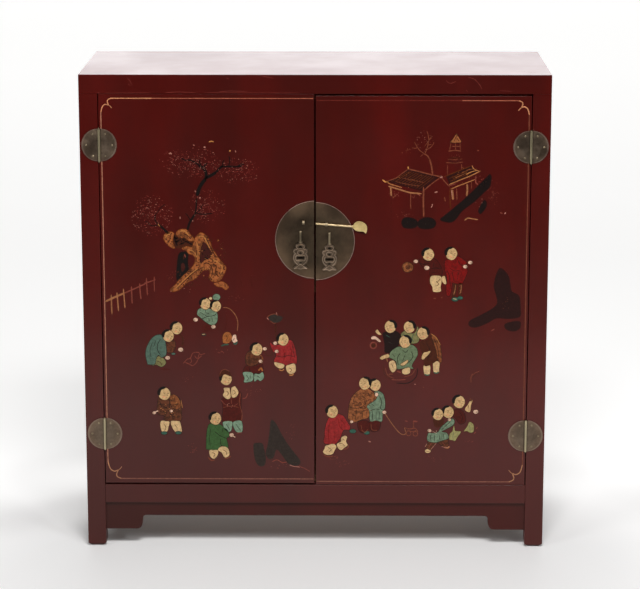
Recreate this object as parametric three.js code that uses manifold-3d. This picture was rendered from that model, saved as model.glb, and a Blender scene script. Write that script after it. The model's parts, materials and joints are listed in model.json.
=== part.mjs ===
// A low two-door cupboard in red lacquer, in the Chinese manner: four square posts that run down
// as legs, a mitred top frame with a flush panel, lower rails with shaped aprons under them, panels
// grooved into the sides and back, one shelf, and two plank doors on round surface hinges.
// A round brass face plate, split by the doors' seam, carries two openwork drop pulls and two
// staples, through which a lock bar slides.
//
// Millimetres, +Z up, the floor at Z = 0. The front looks along -Y, and +X is on the viewer's right.
// The origin is under the middle of the whole cupboard, hardware included.

import * as THREE from "three";
import { mergeVertices } from "three/addons/utils/BufferGeometryUtils.js";
import Module from "manifold-3d";

const wasm = await Module();
wasm.setup();

// Overall size
const width = 890;
const depth = 350;
const height = 930;

// Clearances
const jointGap = 0.3;
const cutOverrun = 1;

// Frame timber
const postSize = 35;
const footChamferWidth = 7;
const footChamferHeight = 6;
const topRailHeight = 36;
const topRailWidth = 50;
const bottomRailHeight = 37;
const bottomRailUnderside = 89;
const tenonThickness = 10;
const tenonInset = 5;
const mortiseWall = 0.6;
const postTenonSize = 18;
const postTenonLength = 16;

// Panels, set in grooves round the frame
const panelThickness = 10;
const panelRecess = 6;
const grooveDepth = 8;
const boardThickness = 12;
const tongueThickness = 6;

// Aprons under the lower rails, each cut from one board with a bracket at both ends
const apronThickness = 15;
const apronRecess = 6;
const apronEdgeHeight = 61;
const apronHousing = 5;
const bracketFootHeight = 33;
const bracketFlat = 60;
const bracketCurve = 18;
const bracketConvexShare = 0.66;

// Shelf and what carries it
const shelfTop = 512;
const shelfSetback = 50;
const runnerHeight = 20;
const runnerTenonThickness = 8;
const runnerTenonLength = 8;

// Strips that the doors close against
const stopHeight = 12;
const stopThickness = 12;

// Doors, plank slabs held flat by sliding dovetail battens
const doorThickness = 20;
const doorSideGap = 1.8;
const doorSeam = 3;
const doorTopGap = 0.7;
const doorBottomGap = 3.5;
const rightDoorDrop = 2.8;
const battenWidth = 45;
const battenProud = 12;
const battenDovetail = 6;
const battenFlare = 3;
const battenEndInset = 40;
const battenInset = 150;

// Round surface hinges
const plateThickness = 1.2;
const hingeRadius = 31;
const hingeBarrelRadius = 2.5;
const hingePinRadius = 1.3;
const hingePinClearance = 0.2;
const hingePinTail = 2;
const hingePinChamfer = 0.6;
const hingePinHeadHeight = 0.8;
const hingeAxisInset = 2;
const hingeTopInset = 97;
const hingeBottomInset = 100;

// Round face plate, one half on each door
const moonRadius = 75.5;
const moonInset = 279;
const moonEdgeGap = 0.2;
const moonRimWidth = 1.8;
const moonRimHeight = 0.5;

// Lock bar and the staples that it slides in
const barRadius = 2;
const barTail = 41;
const barTilt = 4.6;
const barRise = 33.4;
const barDrawn = 42.6;
const barStandoff = 2.6;
const paddleStart = 29.6;
const paddleLength = 27.5;
const paddleHeight = 23;
const paddleThickness = 1.8;
const stapleOffset = 22;
const stapleWidth = 4.4;
const stapleThickness = 1.3;
const stapleClearance = 0.7;
const stapleTang = 10;

// Drop pulls and the straps that carry them
const pullOffset = 27.6;
const pullAxisDrop = 4.4;
const pullLength = 54;
const pullWidth = 29.6;
const pullThickness = 2.2;
const pullPinRadius = 0.9;
const pullPinClearance = 0.25;
const pullEarHeight = 1.6;
const pullEarWidth = 1.5;
const pullEarFoot = 2.4;
const pullPlateGap = 0.5;
const strapWidth = 3.4;
const strapThickness = 0.9;
const strapBend = 1.8;
const strapRise = 17;
const strapTang = 10;
const strapSideGap = 0.3;

// Facets
const smallFacets = 10;
const roundFacets = 16;
const eyeFacets = 20;
const plateFacets = 40;
const circleFacets = 80;
const curveFacets = 5;

// Places that follow from the sizes above
const halfWidth = width / 2;
const halfDepth = depth / 2;
const frontFace = -halfDepth;
const insideX = halfWidth - postSize;
const insideY = halfDepth - postSize;
const openingTop = height - topRailHeight;
const openingBottom = bottomRailUnderside + bottomRailHeight;
const plateBack = frontFace - jointGap;
const plateFront = plateBack - plateThickness;
const tenonLength = (postSize - tenonThickness) / 2 - 2 * jointGap - mortiseWall;
const barSeamHeight = openingTop - doorTopGap - moonInset - rightDoorDrop / 2 + barRise;
const barY = plateFront - barStandoff;
const stapleInnerRadius = barRadius + stapleClearance;
const stapleOuterRadius = stapleInnerRadius + stapleThickness;
const strapEyeRadius = pullPinRadius + pullPinClearance + strapThickness;
const pullAxisY = plateFront - pullPlateGap - strapEyeRadius;
const hardwareReach = frontFace - (barY - stapleOuterRadius);

// Materials

const lacquer = new THREE.MeshStandardMaterial({ color: 0x4a1412, roughness: 0.28, metalness: 0 });
const bareWood = new THREE.MeshStandardMaterial({ color: 0x6b4a32, roughness: 0.7, metalness: 0 });
const agedBrass = new THREE.MeshStandardMaterial({ color: 0x4b3f2b, roughness: 0.45, metalness: 0.9 });
const paleBrass = new THREE.MeshStandardMaterial({ color: 0xb79b62, roughness: 0.35, metalness: 0.9 });

// Solid helpers

function box(xA, xB, yA, yB, zA, zB) {
  const geometry = new THREE.BoxGeometry(Math.abs(xB - xA), Math.abs(yB - yA), Math.abs(zB - zA));
  return geometry.translate((xA + xB) / 2, (yA + yB) / 2, (zA + zB) / 2);
}

function toSolid(geometry) {
  const bare = geometry.clone();
  bare.deleteAttribute("normal");
  bare.deleteAttribute("uv");
  const merged = mergeVertices(bare);
  return new wasm.Manifold(
    new wasm.Mesh({
      numProp: 3,
      vertProperties: Float32Array.from(merged.attributes.position.array),
      triVerts: Uint32Array.from(merged.index.array),
    }),
  );
}

function toGeometry(solid) {
  const mesh = solid.getMesh();
  const geometry = new THREE.BufferGeometry();
  geometry.setAttribute("position", new THREE.BufferAttribute(mesh.vertProperties, 3));
  geometry.setIndex(new THREE.BufferAttribute(mesh.triVerts, 1));
  const flat = geometry.toNonIndexed();
  flat.computeVertexNormals();
  return flat;
}

function join(...geometries) {
  return toGeometry(geometries.map(toSolid).reduce((whole, next) => whole.add(next)));
}

function cut(geometry, ...cutters) {
  return toGeometry(cutters.map(toSolid).reduce((whole, next) => whole.subtract(next), toSolid(geometry)));
}

function common(first, second) {
  return toGeometry(toSolid(first).intersect(toSolid(second)));
}

// A shape drawn as (X, Z), given thickness between two Y values
function extrudeFront(shape, yFront, yBack, curveSegments = curveFacets) {
  const options = { depth: yBack - yFront, bevelEnabled: false, curveSegments };
  const geometry = new THREE.ExtrudeGeometry(shape, options);
  const turn = new THREE.Matrix4().makeBasis(
    new THREE.Vector3(1, 0, 0),
    new THREE.Vector3(0, 0, 1),
    new THREE.Vector3(0, -1, 0),
  );
  return geometry.applyMatrix4(turn).translate(0, yBack, 0);
}

// A shape drawn as (Y, Z), given thickness between two X values
function extrudeSide(shape, xLow, xHigh, curveSegments = curveFacets) {
  const options = { depth: xHigh - xLow, bevelEnabled: false, curveSegments };
  const geometry = new THREE.ExtrudeGeometry(shape, options);
  const turn = new THREE.Matrix4().makeBasis(
    new THREE.Vector3(0, 1, 0),
    new THREE.Vector3(0, 0, 1),
    new THREE.Vector3(1, 0, 0),
  );
  return geometry.applyMatrix4(turn).translate(xLow, 0, 0);
}

// A shape drawn as (X, Y), given thickness between two Z values
function extrudeUp(shape, zLow, zHigh) {
  const options = { depth: zHigh - zLow, bevelEnabled: false, curveSegments: curveFacets };
  return new THREE.ExtrudeGeometry(shape, options).translate(0, 0, zLow);
}

function polygon(points) {
  return new THREE.Shape(points.map(([x, y]) => new THREE.Vector2(x, y)));
}

// A cylinder along X, centred on the origin
function rod(radius, length, facets) {
  return new THREE.CylinderGeometry(radius, radius, length, facets).rotateZ(Math.PI / 2);
}

function addPiece(parent, name, geometry, material) {
  const mesh = new THREE.Mesh(geometry, material);
  mesh.name = name;
  parent.add(mesh);
}

const sideNames = [
  [-1, "left"],
  [1, "right"],
];

// Grooves and mortises, shared by the pieces that they join

function sidePanelBox(side, gap) {
  const outer = halfWidth - panelRecess + gap;
  const inner = halfWidth - panelRecess - panelThickness - gap;
  const reachY = insideY + grooveDepth - jointGap + gap;
  const low = openingBottom - grooveDepth + jointGap - gap;
  const high = openingTop + grooveDepth - jointGap + gap;
  return box(side * inner, side * outer, -reachY, reachY, low, high);
}

function backPanelBox(gap) {
  const outer = halfDepth - panelRecess + gap;
  const inner = halfDepth - panelRecess - panelThickness - gap;
  const reachX = insideX + grooveDepth - jointGap + gap;
  const low = openingBottom - grooveDepth + jointGap - gap;
  const high = openingTop + grooveDepth - jointGap + gap;
  return box(-reachX, reachX, inner, outer, low, high);
}

// The tenons at both ends of a lower rail that runs along X
function frontRailTenons(sideY, gap) {
  const reach = insideX + tenonLength + gap;
  const middle = sideY * (halfDepth - postSize / 2);
  const half = tenonThickness / 2 + gap;
  const low = bottomRailUnderside + tenonInset - gap;
  const high = openingBottom - grooveDepth - tenonInset + gap;
  return box(-reach, reach, middle - half, middle + half, low, high);
}

// The tenons at both ends of a lower rail that runs along Y
function sideRailTenons(side, gap) {
  const reach = insideY + tenonLength + gap;
  const middle = side * (halfWidth - postSize / 2);
  const half = tenonThickness / 2 + gap;
  const low = bottomRailUnderside + tenonInset - gap;
  const high = openingBottom - grooveDepth - tenonInset + gap;
  return box(middle - half, middle + half, -reach, reach, low, high);
}

function runnerTenons(side, gap) {
  const inner = insideX + jointGap;
  const outer = halfWidth - panelRecess - panelThickness - jointGap;
  const middle = (side * (inner + outer)) / 2;
  const half = runnerTenonThickness / 2 + gap;
  const reach = insideY + runnerTenonLength + gap;
  const high = shelfTop - boardThickness - tenonInset + gap;
  const low = shelfTop - boardThickness - runnerHeight + tenonInset - gap;
  return box(middle - half, middle + half, -reach, reach, low, high);
}

function postTenon(side, sideY, gap) {
  const x = side * (halfWidth - postSize / 2);
  const y = sideY * (halfDepth - postSize / 2);
  const half = postTenonSize / 2 + gap;
  const high = openingTop + postTenonLength + gap;
  return box(x - half, x + half, y - half, y + half, openingTop - cutOverrun, high);
}

// Posts, each with chamfered foot edges and a tenon up into the mitred corner

function postOutline(centre) {
  const half = postSize / 2;
  const top = openingTop - jointGap;
  return polygon([
    [centre - half + footChamferWidth, 0],
    [centre + half - footChamferWidth, 0],
    [centre + half, footChamferHeight],
    [centre + half, top],
    [centre - half, top],
    [centre - half, footChamferHeight],
  ]);
}

function post(side, sideY) {
  const x = side * (halfWidth - postSize / 2);
  const y = sideY * (halfDepth - postSize / 2);
  const half = postSize / 2;
  const shaft = common(
    extrudeFront(postOutline(x), y - half, y + half),
    extrudeSide(postOutline(y), x - half, x + half),
  );
  const grooves = [
    sidePanelBox(side, jointGap),
    sideRailTenons(side, jointGap),
    runnerTenons(side, jointGap),
    frontRailTenons(sideY, jointGap),
    sideApronBoard(side, jointGap),
  ];
  if (sideY > 0) {
    grooves.push(backPanelBox(jointGap));
  } else {
    grooves.push(frontApronBoard(jointGap));
  }
  return join(cut(shaft, ...grooves), postTenon(side, sideY, 0));
}

// Top frame: four mitred rails round a flush panel

function topPanelTongue(gap) {
  const reachX = halfWidth - topRailWidth + grooveDepth - jointGap + gap;
  const reachY = halfDepth - topRailWidth + grooveDepth - jointGap + gap;
  const low = height - boardThickness - gap;
  return box(-reachX, reachX, -reachY, reachY, low, low + tongueThickness + 2 * gap);
}

function topPanel() {
  const reachX = halfWidth - topRailWidth - jointGap;
  const reachY = halfDepth - topRailWidth - jointGap;
  return join(box(-reachX, reachX, -reachY, reachY, height - boardThickness, height), topPanelTongue(0));
}

function topRail(outline, cutters) {
  return cut(extrudeUp(outline, openingTop, height), topPanelTongue(jointGap), ...cutters);
}

function topRailAlongX(sideY) {
  const mitreGap = jointGap / Math.SQRT2;
  const outline = polygon([
    [-halfWidth + mitreGap, sideY * halfDepth],
    [halfWidth - mitreGap, sideY * halfDepth],
    [halfWidth - topRailWidth - mitreGap, sideY * (halfDepth - topRailWidth)],
    [-halfWidth + topRailWidth + mitreGap, sideY * (halfDepth - topRailWidth)],
  ]);
  const cutters = sideNames.flatMap(([side]) => [
    postTenon(side, sideY, jointGap),
    sidePanelBox(side, jointGap),
  ]);
  if (sideY > 0) {
    cutters.push(backPanelBox(jointGap));
  }
  return topRail(outline, cutters);
}

function topRailAlongY(side) {
  const mitreGap = jointGap / Math.SQRT2;
  const outline = polygon([
    [side * halfWidth, -halfDepth + mitreGap],
    [side * halfWidth, halfDepth - mitreGap],
    [side * (halfWidth - topRailWidth), halfDepth - topRailWidth - mitreGap],
    [side * (halfWidth - topRailWidth), -halfDepth + topRailWidth + mitreGap],
  ]);
  const cutters = [-1, 1].map((sideY) => postTenon(side, sideY, jointGap));
  return topRail(outline, [...cutters, sidePanelBox(side, jointGap), backPanelBox(jointGap)]);
}

// Lower rails and the floor board tongued into them

function floorTongue(gap) {
  const shortX = insideX - jointGap;
  const shortY = insideY - jointGap;
  const reach = grooveDepth - jointGap + gap;
  const low = openingBottom - boardThickness - gap;
  const high = low + tongueThickness + 2 * gap;
  return [
    box(-insideX - reach, insideX + reach, -shortY, shortY, low, high),
    box(-shortX, shortX, -insideY - reach, insideY + reach, low, high),
  ];
}

function floorBoard() {
  const x = insideX - jointGap;
  const y = insideY - jointGap;
  return join(box(-x, x, -y, y, openingBottom - boardThickness, openingBottom), ...floorTongue(0));
}

function bottomRailAlongX(sideY) {
  const x = insideX - jointGap;
  const rail = box(-x, x, sideY * insideY, sideY * halfDepth, bottomRailUnderside, openingBottom);
  const cutters = floorTongue(jointGap);
  if (sideY > 0) {
    cutters.push(backPanelBox(jointGap));
  }
  return cut(join(rail, frontRailTenons(sideY, 0)), ...cutters);
}

function bottomRailAlongY(side) {
  const y = insideY - jointGap;
  const rail = box(side * insideX, side * halfWidth, -y, y, bottomRailUnderside, openingBottom);
  return cut(join(rail, sideRailTenons(side, 0)), ...floorTongue(jointGap), sidePanelBox(side, jointGap));
}

// Aprons: a board between two posts, its lower edge cut away between ogee brackets

function apronOutline(span) {
  const end = span / 2;
  const inner = end - bracketFlat;
  const curveEnd = inner - bracketCurve;
  const rise = apronEdgeHeight - bracketFootHeight;
  const shape = new THREE.Shape();
  shape.moveTo(-end - apronHousing, bottomRailUnderside - jointGap);
  shape.lineTo(-end - apronHousing, bracketFootHeight);
  shape.lineTo(-inner, bracketFootHeight);
  ogee(shape, -inner, -curveEnd, bracketFootHeight, rise);
  shape.lineTo(curveEnd, apronEdgeHeight);
  ogee(shape, curveEnd, inner, apronEdgeHeight, -rise);
  shape.lineTo(end + apronHousing, bracketFootHeight);
  shape.lineTo(end + apronHousing, bottomRailUnderside - jointGap);
  return shape;
}

// A convex quarter low down and a smaller concave quarter above it, climbing or falling by rise
function ogee(shape, fromX, toX, fromZ, rise) {
  const share = rise > 0 ? bracketConvexShare : 1 - bracketConvexShare;
  const midX = fromX + (toX - fromX) * share;
  const midZ = fromZ + rise * share;
  shape.quadraticCurveTo(midX, fromZ, midX, midZ);
  shape.quadraticCurveTo(midX, fromZ + rise, toX, fromZ + rise);
}

function frontApronBoard(gap) {
  const y = frontFace + apronRecess;
  const reach = insideX + apronHousing + gap;
  return box(-reach, reach, y - gap, y + apronThickness + gap, bracketFootHeight - gap, bottomRailUnderside);
}

function sideApronBoard(side, gap) {
  const outer = halfWidth - apronRecess + gap;
  const inner = halfWidth - apronRecess - apronThickness - gap;
  const reach = insideY + apronHousing + gap;
  return box(side * inner, side * outer, -reach, reach, bracketFootHeight - gap, bottomRailUnderside);
}

function frontApron() {
  const y = frontFace + apronRecess;
  return extrudeFront(apronOutline(2 * insideX), y, y + apronThickness);
}

function sideApron(side) {
  const outer = side * (halfWidth - apronRecess);
  const inner = side * (halfWidth - apronRecess - apronThickness);
  return extrudeSide(apronOutline(2 * insideY), Math.min(outer, inner), Math.max(outer, inner));
}

// Shelf, shelf runners and door stops

function shelf() {
  const x = halfWidth - panelRecess - panelThickness - jointGap;
  const back = insideY - jointGap;
  return box(-x, x, frontFace + shelfSetback, back, shelfTop - boardThickness, shelfTop);
}

function shelfRunner(side) {
  const inner = insideX + jointGap;
  const outer = halfWidth - panelRecess - panelThickness - jointGap;
  const y = insideY - jointGap;
  const high = shelfTop - boardThickness - jointGap;
  const bar = box(side * inner, side * outer, -y, y, high - runnerHeight, high);
  return join(bar, runnerTenons(side, 0));
}

function doorStop(low) {
  const x = insideX - jointGap;
  const front = frontFace + doorThickness + jointGap;
  return box(-x, x, front, front + stopThickness, low, low + stopHeight);
}

// Doors

function doorDrop(side) {
  return side > 0 ? rightDoorDrop : 0;
}

function doorTop(side) {
  return openingTop - doorTopGap - doorDrop(side);
}

function doorBottom(side) {
  return openingBottom + doorBottomGap - doorDrop(side);
}

function moonHeight(side) {
  return doorTop(side) - moonInset;
}

// A batten with a dovetail towards the door, drawn as (Y, Z)
function battenSolid(side, z, gap) {
  const back = frontFace + doorThickness;
  const half = battenWidth / 2;
  const root = half - battenFlare + gap;
  const outline = polygon([
    [back - battenDovetail - gap, z - half - gap],
    [back + jointGap, z - root],
    [back + jointGap, z - half + gap],
    [back + battenProud, z - half + gap],
    [back + battenProud, z + half - gap],
    [back + jointGap, z + half - gap],
    [back + jointGap, z + root],
    [back - battenDovetail - gap, z + half + gap],
  ]);
  const seamEnd = side * (doorSeam / 2 + battenEndInset - gap);
  const hingeEnd = side * (insideX - doorSideGap - battenEndInset + gap);
  return extrudeSide(outline, Math.min(seamEnd, hingeEnd), Math.max(seamEnd, hingeEnd));
}

function battenHeights(side) {
  return [
    ["upper", doorTop(side) - battenInset],
    ["lower", doorBottom(side) + battenInset],
  ];
}

function doorSlab(side) {
  const seam = (side * doorSeam) / 2;
  const edge = side * (insideX - doorSideGap);
  const slab = box(seam, edge, frontFace, frontFace + doorThickness, doorBottom(side), doorTop(side));
  const grooves = battenHeights(side).map(([, z]) => battenSolid(side, z, jointGap));
  return cut(slab, ...grooves, ...stapleHoles(side), strapHole(side));
}

// Hinges: a half disc on the frame, a half disc on the door, and a pin through both knuckles

function halfDisc(side, centre, edge, radius) {
  const angle = Math.acos((edge - centre) / radius);
  const shape = new THREE.Shape();
  if (side > 0) {
    shape.absarc(centre, 0, radius, -angle, angle, false);
  } else {
    shape.absarc(-centre, 0, radius, Math.PI - angle, Math.PI + angle, false);
  }
  return shape;
}

// A leaf about its own pin: side is the way that its half disc lies, level is +1 for the upper
// knuckle and -1 for the lower one
function hingeLeaf(side, level) {
  const edge = hingeBarrelRadius + jointGap;
  const back = hingeBarrelRadius;
  const front = hingeBarrelRadius - plateThickness;
  const disc = extrudeFront(
    halfDisc(side, hingeBarrelRadius, edge, hingeRadius),
    front,
    back,
    roundFacets,
  );
  const near = (level * jointGap) / 2;
  const far = level * hingeRadius;
  const knuckle = new THREE.CylinderGeometry(
    hingeBarrelRadius,
    hingeBarrelRadius,
    Math.abs(far - near),
    roundFacets,
  ).rotateX(Math.PI / 2);
  knuckle.translate(0, 0, (near + far) / 2);
  const webEnd = level * (hingeRadius - plateThickness);
  const web = box(0, side * (edge + plateThickness), front, back, near, webEnd);
  const bore = new THREE.CylinderGeometry(
    hingePinRadius + hingePinClearance,
    hingePinRadius + hingePinClearance,
    2 * hingeRadius + cutOverrun,
    roundFacets,
  ).rotateX(Math.PI / 2);
  return cut(join(disc, knuckle, web), bore);
}

function hingePin() {
  const top = hingeRadius + jointGap;
  const profile = [
    [0, -hingeRadius - hingePinTail],
    [hingePinRadius - hingePinChamfer, -hingeRadius - hingePinTail],
    [hingePinRadius, -hingeRadius - hingePinTail + hingePinChamfer],
    [hingePinRadius, top],
    [hingeBarrelRadius, top],
    [hingeBarrelRadius - hingePinClearance, top + hingePinHeadHeight],
    [0, top + hingePinHeadHeight],
  ];
  const points = profile.map(([x, y]) => new THREE.Vector2(x, y));
  return new THREE.LatheGeometry(points, smallFacets).rotateX(Math.PI / 2);
}

function hingeHeights(side) {
  return [
    ["upper", doorTop(side) - hingeTopInset],
    ["lower", doorBottom(side) + hingeBottomInset],
  ];
}

function addHinges(frameGroup, doorGroup, side, sideName) {
  const x = side * (insideX - hingeAxisInset);
  const y = plateBack - hingeBarrelRadius;
  for (const [level, z] of hingeHeights(side)) {
    const place = (geometry) => geometry.translate(x, y, z);
    const name = `hinge_${level}_${sideName}`;
    addPiece(frameGroup, `${name}_frame_leaf`, place(hingeLeaf(side, -1)), agedBrass);
    addPiece(frameGroup, `${name}_pin`, place(hingePin()), agedBrass);
    addPiece(doorGroup, `${name}_door_leaf`, place(hingeLeaf(-side, 1)), agedBrass);
  }
}

// Face plate halves

function moonPlate(side) {
  const edge = doorSeam / 2 + moonEdgeGap;
  const plate = extrudeFront(halfDisc(side, 0, edge, moonRadius), plateFront, plateBack, plateFacets);
  const rimFront = plateFront - moonRimHeight;
  const middle = (plateFront + plateBack) / 2;
  const inside = circle(moonRadius - moonRimWidth);
  const rim = cut(
    extrudeFront(halfDisc(side, 0, edge, moonRadius), rimFront, middle, plateFacets),
    extrudeFront(inside, rimFront - cutOverrun, middle + cutOverrun, circleFacets),
  );
  const z = moonHeight(side);
  const whole = join(plate, rim).translate(0, 0, z);
  return cut(whole, ...stapleHoles(side), strapHole(side));
}

function circle(radius) {
  const shape = new THREE.Shape();
  shape.absarc(0, 0, radius, 0, 2 * Math.PI, false);
  return shape;
}

// Staples for the lock bar, drawn as (Y, Z) about the bar's own line, which tilts

const lockLine = new THREE.Matrix4()
  .makeTranslation(0, barY, barSeamHeight)
  .multiply(new THREE.Matrix4().makeRotationY(THREE.MathUtils.degToRad(barTilt)));

function staple(side) {
  const legEnd = plateFront - barY + plateThickness + jointGap + stapleTang;
  const shape = new THREE.Shape();
  shape.moveTo(legEnd, -stapleOuterRadius);
  shape.lineTo(legEnd, -stapleInnerRadius);
  shape.lineTo(0, -stapleInnerRadius);
  shape.absarc(0, 0, stapleInnerRadius, -Math.PI / 2, -1.5 * Math.PI, true);
  shape.lineTo(legEnd, stapleInnerRadius);
  shape.lineTo(legEnd, stapleOuterRadius);
  shape.lineTo(0, stapleOuterRadius);
  shape.absarc(0, 0, stapleOuterRadius, Math.PI / 2, 1.5 * Math.PI, false);
  const x = side * stapleOffset;
  const half = stapleWidth / 2;
  return extrudeSide(shape, x - half, x + half, smallFacets).applyMatrix4(lockLine);
}

function stapleHoles(side) {
  const x = side * stapleOffset;
  const half = stapleWidth / 2 + jointGap;
  const low = stapleInnerRadius - jointGap;
  const high = stapleOuterRadius + jointGap;
  const end = plateFront - barY + plateThickness + 2 * jointGap + stapleTang;
  return [-1, 1].map((way) => box(x - half, x + half, 0, end, way * low, way * high).applyMatrix4(lockLine));
}

// Lock bar: a round shaft with a flat, comma-shaped paddle

// The paddle's edge from the top of its neck round to the underside: two control points and an end
// point for each curve, as shares of its length along and of its height up
const paddleEdgeShares = [
  [0, 0.1, 0.02, 0.14, 0.05, 0.2],
  [0.16, 0.49, 0.36, 0.5, 0.46, 0.49],
  [0.8, 0.49, 1, 0.2, 1, -0.08],
  [1.01, -0.25, 0.97, -0.4, 0.93, -0.51],
  [0.86, -0.38, 0.76, -0.33, 0.64, -0.34],
  [0.42, -0.37, 0.2, -0.36, 0.04, -0.14],
];

function paddleOutline() {
  const neck = paddleStart - barRadius;
  const shape = new THREE.Shape();
  shape.moveTo(neck, -barRadius);
  shape.lineTo(neck, barRadius);
  for (const [alongA, upA, alongB, upB, along, up] of paddleEdgeShares) {
    shape.bezierCurveTo(...paddlePoint(alongA, upA), ...paddlePoint(alongB, upB), ...paddlePoint(along, up));
  }
  return shape;
}

function paddlePoint(alongShare, upShare) {
  return [paddleStart + alongShare * paddleLength, upShare * paddleHeight];
}

function lockBar() {
  const length = barTail + paddleStart;
  const shaft = rod(barRadius, length, smallFacets).translate((paddleStart - barTail) / 2, 0, 0);
  const half = paddleThickness / 2;
  const whole = join(shaft, extrudeFront(paddleOutline(), -half, half));
  return whole.translate(barDrawn, 0, 0).applyMatrix4(lockLine);
}

// Straps: a strip through the plate, bent down to an eye that holds the pull's cross pin

function strapHeight(side) {
  return moonHeight(side) + strapRise;
}

function pullAxisHeight(side) {
  return moonHeight(side) - pullAxisDrop;
}

function strap(side) {
  const half = strapWidth / 2;
  const bend = strapBend;
  const front = pullAxisY - strapEyeRadius;
  const top = strapHeight(side) + strapThickness / 2;
  const tangEnd = frontFace + strapTang;
  const leg = new THREE.Shape();
  leg.moveTo(front, pullAxisHeight(side));
  leg.lineTo(front + strapThickness, pullAxisHeight(side));
  leg.lineTo(front + strapThickness, top - bend);
  leg.quadraticCurveTo(front + strapThickness, top - strapThickness, front + bend, top - strapThickness);
  leg.lineTo(tangEnd, top - strapThickness);
  leg.lineTo(tangEnd, top);
  leg.lineTo(front + bend, top);
  leg.quadraticCurveTo(front, top, front, top - bend);
  const eye = circle(strapEyeRadius);
  const bore = circle(pullPinRadius + pullPinClearance);
  const place = (geometry) => geometry.translate(0, pullAxisY, pullAxisHeight(side));
  const ring = place(extrudeSide(eye, -half, half, eyeFacets));
  const hole = place(extrudeSide(bore, -half - cutOverrun, half + cutOverrun, eyeFacets));
  return cut(join(ring, extrudeSide(leg, -half, half)), hole).translate(side * pullOffset, 0, 0);
}

function strapHole(side) {
  const x = side * pullOffset;
  const half = strapWidth / 2 + jointGap;
  const z = strapHeight(side);
  const halfHeight = strapThickness / 2 + jointGap;
  const end = frontFace + strapTang + jointGap;
  return box(x - half, x + half, plateFront - moonRimHeight, end, z - halfHeight, z + halfHeight);
}

// Pulls: cast openwork plates, drawn about their own cross pin

// Half of a pull's edge from the ear's foot down to the tip: a control point and an end point for
// each curve, as shares of the half width across and of the length down
const pullEdgeShares = [
  [0.6, 0.05, 0.64, 0.12],
  [0.66, 0.19, 0.46, 0.215],
  [0.8, 0.19, 0.93, 0.27],
  [1, 0.37, 0.84, 0.43],
  [1.04, 0.48, 1, 0.6],
  [0.94, 0.75, 0.48, 0.82],
  [0.74, 0.85, 1, 0.95],
  [0.45, 0.95, 0, 1],
];

function pullPoint(acrossShare, downShare) {
  return [(acrossShare * pullWidth) / 2, -downShare * pullLength];
}

// Drawn anticlockwise: down the left edge to the tip and up the right
function pullOutline() {
  const ear = strapWidth / 2 + strapSideGap + pullEarWidth;
  const earFoot = -pullEarFoot;
  const shape = new THREE.Shape();
  shape.moveTo(-ear, pullEarHeight);
  shape.lineTo(-ear, earFoot);
  for (const [controlAcross, controlDown, across, down] of pullEdgeShares) {
    shape.quadraticCurveTo(...pullPoint(-controlAcross, controlDown), ...pullPoint(-across, down));
  }
  for (let i = pullEdgeShares.length - 1; i >= 0; i -= 1) {
    const [controlAcross, controlDown] = pullEdgeShares[i];
    const next = i > 0 ? pullPoint(...pullEdgeShares[i - 1].slice(2)) : [ear, earFoot];
    shape.quadraticCurveTo(...pullPoint(controlAcross, controlDown), ...next);
  }
  shape.lineTo(ear, pullEarHeight);
  shape.holes.push(...pullPiercings());
  return shape;
}

// The openings, as shares of the half width across and of the length down: a heart under the lobe,
// a lozenge above and below the middle and, between them, a waisted opening like a butterfly
const heartShares = [
  [0, 0.148],
  [0.2, 0.128],
  [0.16, 0.165],
  [0, 0.2],
];
const upperLozengeShares = [
  [0, 0.357],
  [0.12, 0.385],
  [0, 0.413],
];
const butterflyShares = [
  [0, 0.54],
  [0.22, 0.535],
  [0.34, 0.495],
  [0.55, 0.545],
  [0.55, 0.57],
  [0.34, 0.62],
  [0.22, 0.58],
  [0, 0.575],
];
const lowerLozengeShares = [
  [0, 0.695],
  [0.13, 0.725],
  [0, 0.755],
];

// Each table is one opening's right half, from its top to its foot, and the left half mirrors it
function pullPiercings() {
  return [heartShares, upperLozengeShares, butterflyShares, lowerLozengeShares].map((shares) => {
    const mirrored = shares.slice(1, -1).toReversed().map(([across, down]) => [-across, down]);
    return new THREE.Path([...shares, ...mirrored].map((point) => new THREE.Vector2(...pullPoint(...point))));
  });
}

function pull(side) {
  const half = pullThickness / 2;
  const slotHalf = strapWidth / 2 + strapSideGap;
  const slotDepth = strapEyeRadius + strapSideGap;
  const plate = extrudeFront(pullOutline(), -half, half);
  const slotTop = pullEarHeight + cutOverrun;
  const slot = box(-slotHalf, slotHalf, -pullThickness, pullThickness, -slotDepth, slotTop);
  const pin = rod(pullPinRadius, 2 * slotHalf + pullEarWidth, smallFacets);
  const whole = join(cut(plate, slot), pin);
  return whole.translate(side * pullOffset, pullAxisY, pullAxisHeight(side));
}

// Assembly

const cupboard = new THREE.Group();
cupboard.position.y = hardwareReach / 2;

const carcass = new THREE.Group();
cupboard.add(carcass);

for (const [side, sideName] of sideNames) {
  addPiece(carcass, `post_front_${sideName}`, post(side, -1), lacquer);
  addPiece(carcass, `post_rear_${sideName}`, post(side, 1), lacquer);
  addPiece(carcass, `top_rail_${sideName}`, topRailAlongY(side), lacquer);
  addPiece(carcass, `bottom_rail_${sideName}`, bottomRailAlongY(side), lacquer);
  addPiece(carcass, `side_panel_${sideName}`, sidePanelBox(side, 0), lacquer);
  addPiece(carcass, `apron_${sideName}`, sideApron(side), lacquer);
  addPiece(carcass, `shelf_runner_${sideName}`, shelfRunner(side), bareWood);
}
addPiece(carcass, "top_rail_front", topRailAlongX(-1), lacquer);
addPiece(carcass, "top_rail_back", topRailAlongX(1), lacquer);
addPiece(carcass, "top_panel", topPanel(), lacquer);
addPiece(carcass, "bottom_rail_front", bottomRailAlongX(-1), lacquer);
addPiece(carcass, "bottom_rail_back", bottomRailAlongX(1), lacquer);
addPiece(carcass, "floor_board", floorBoard(), bareWood);
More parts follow.
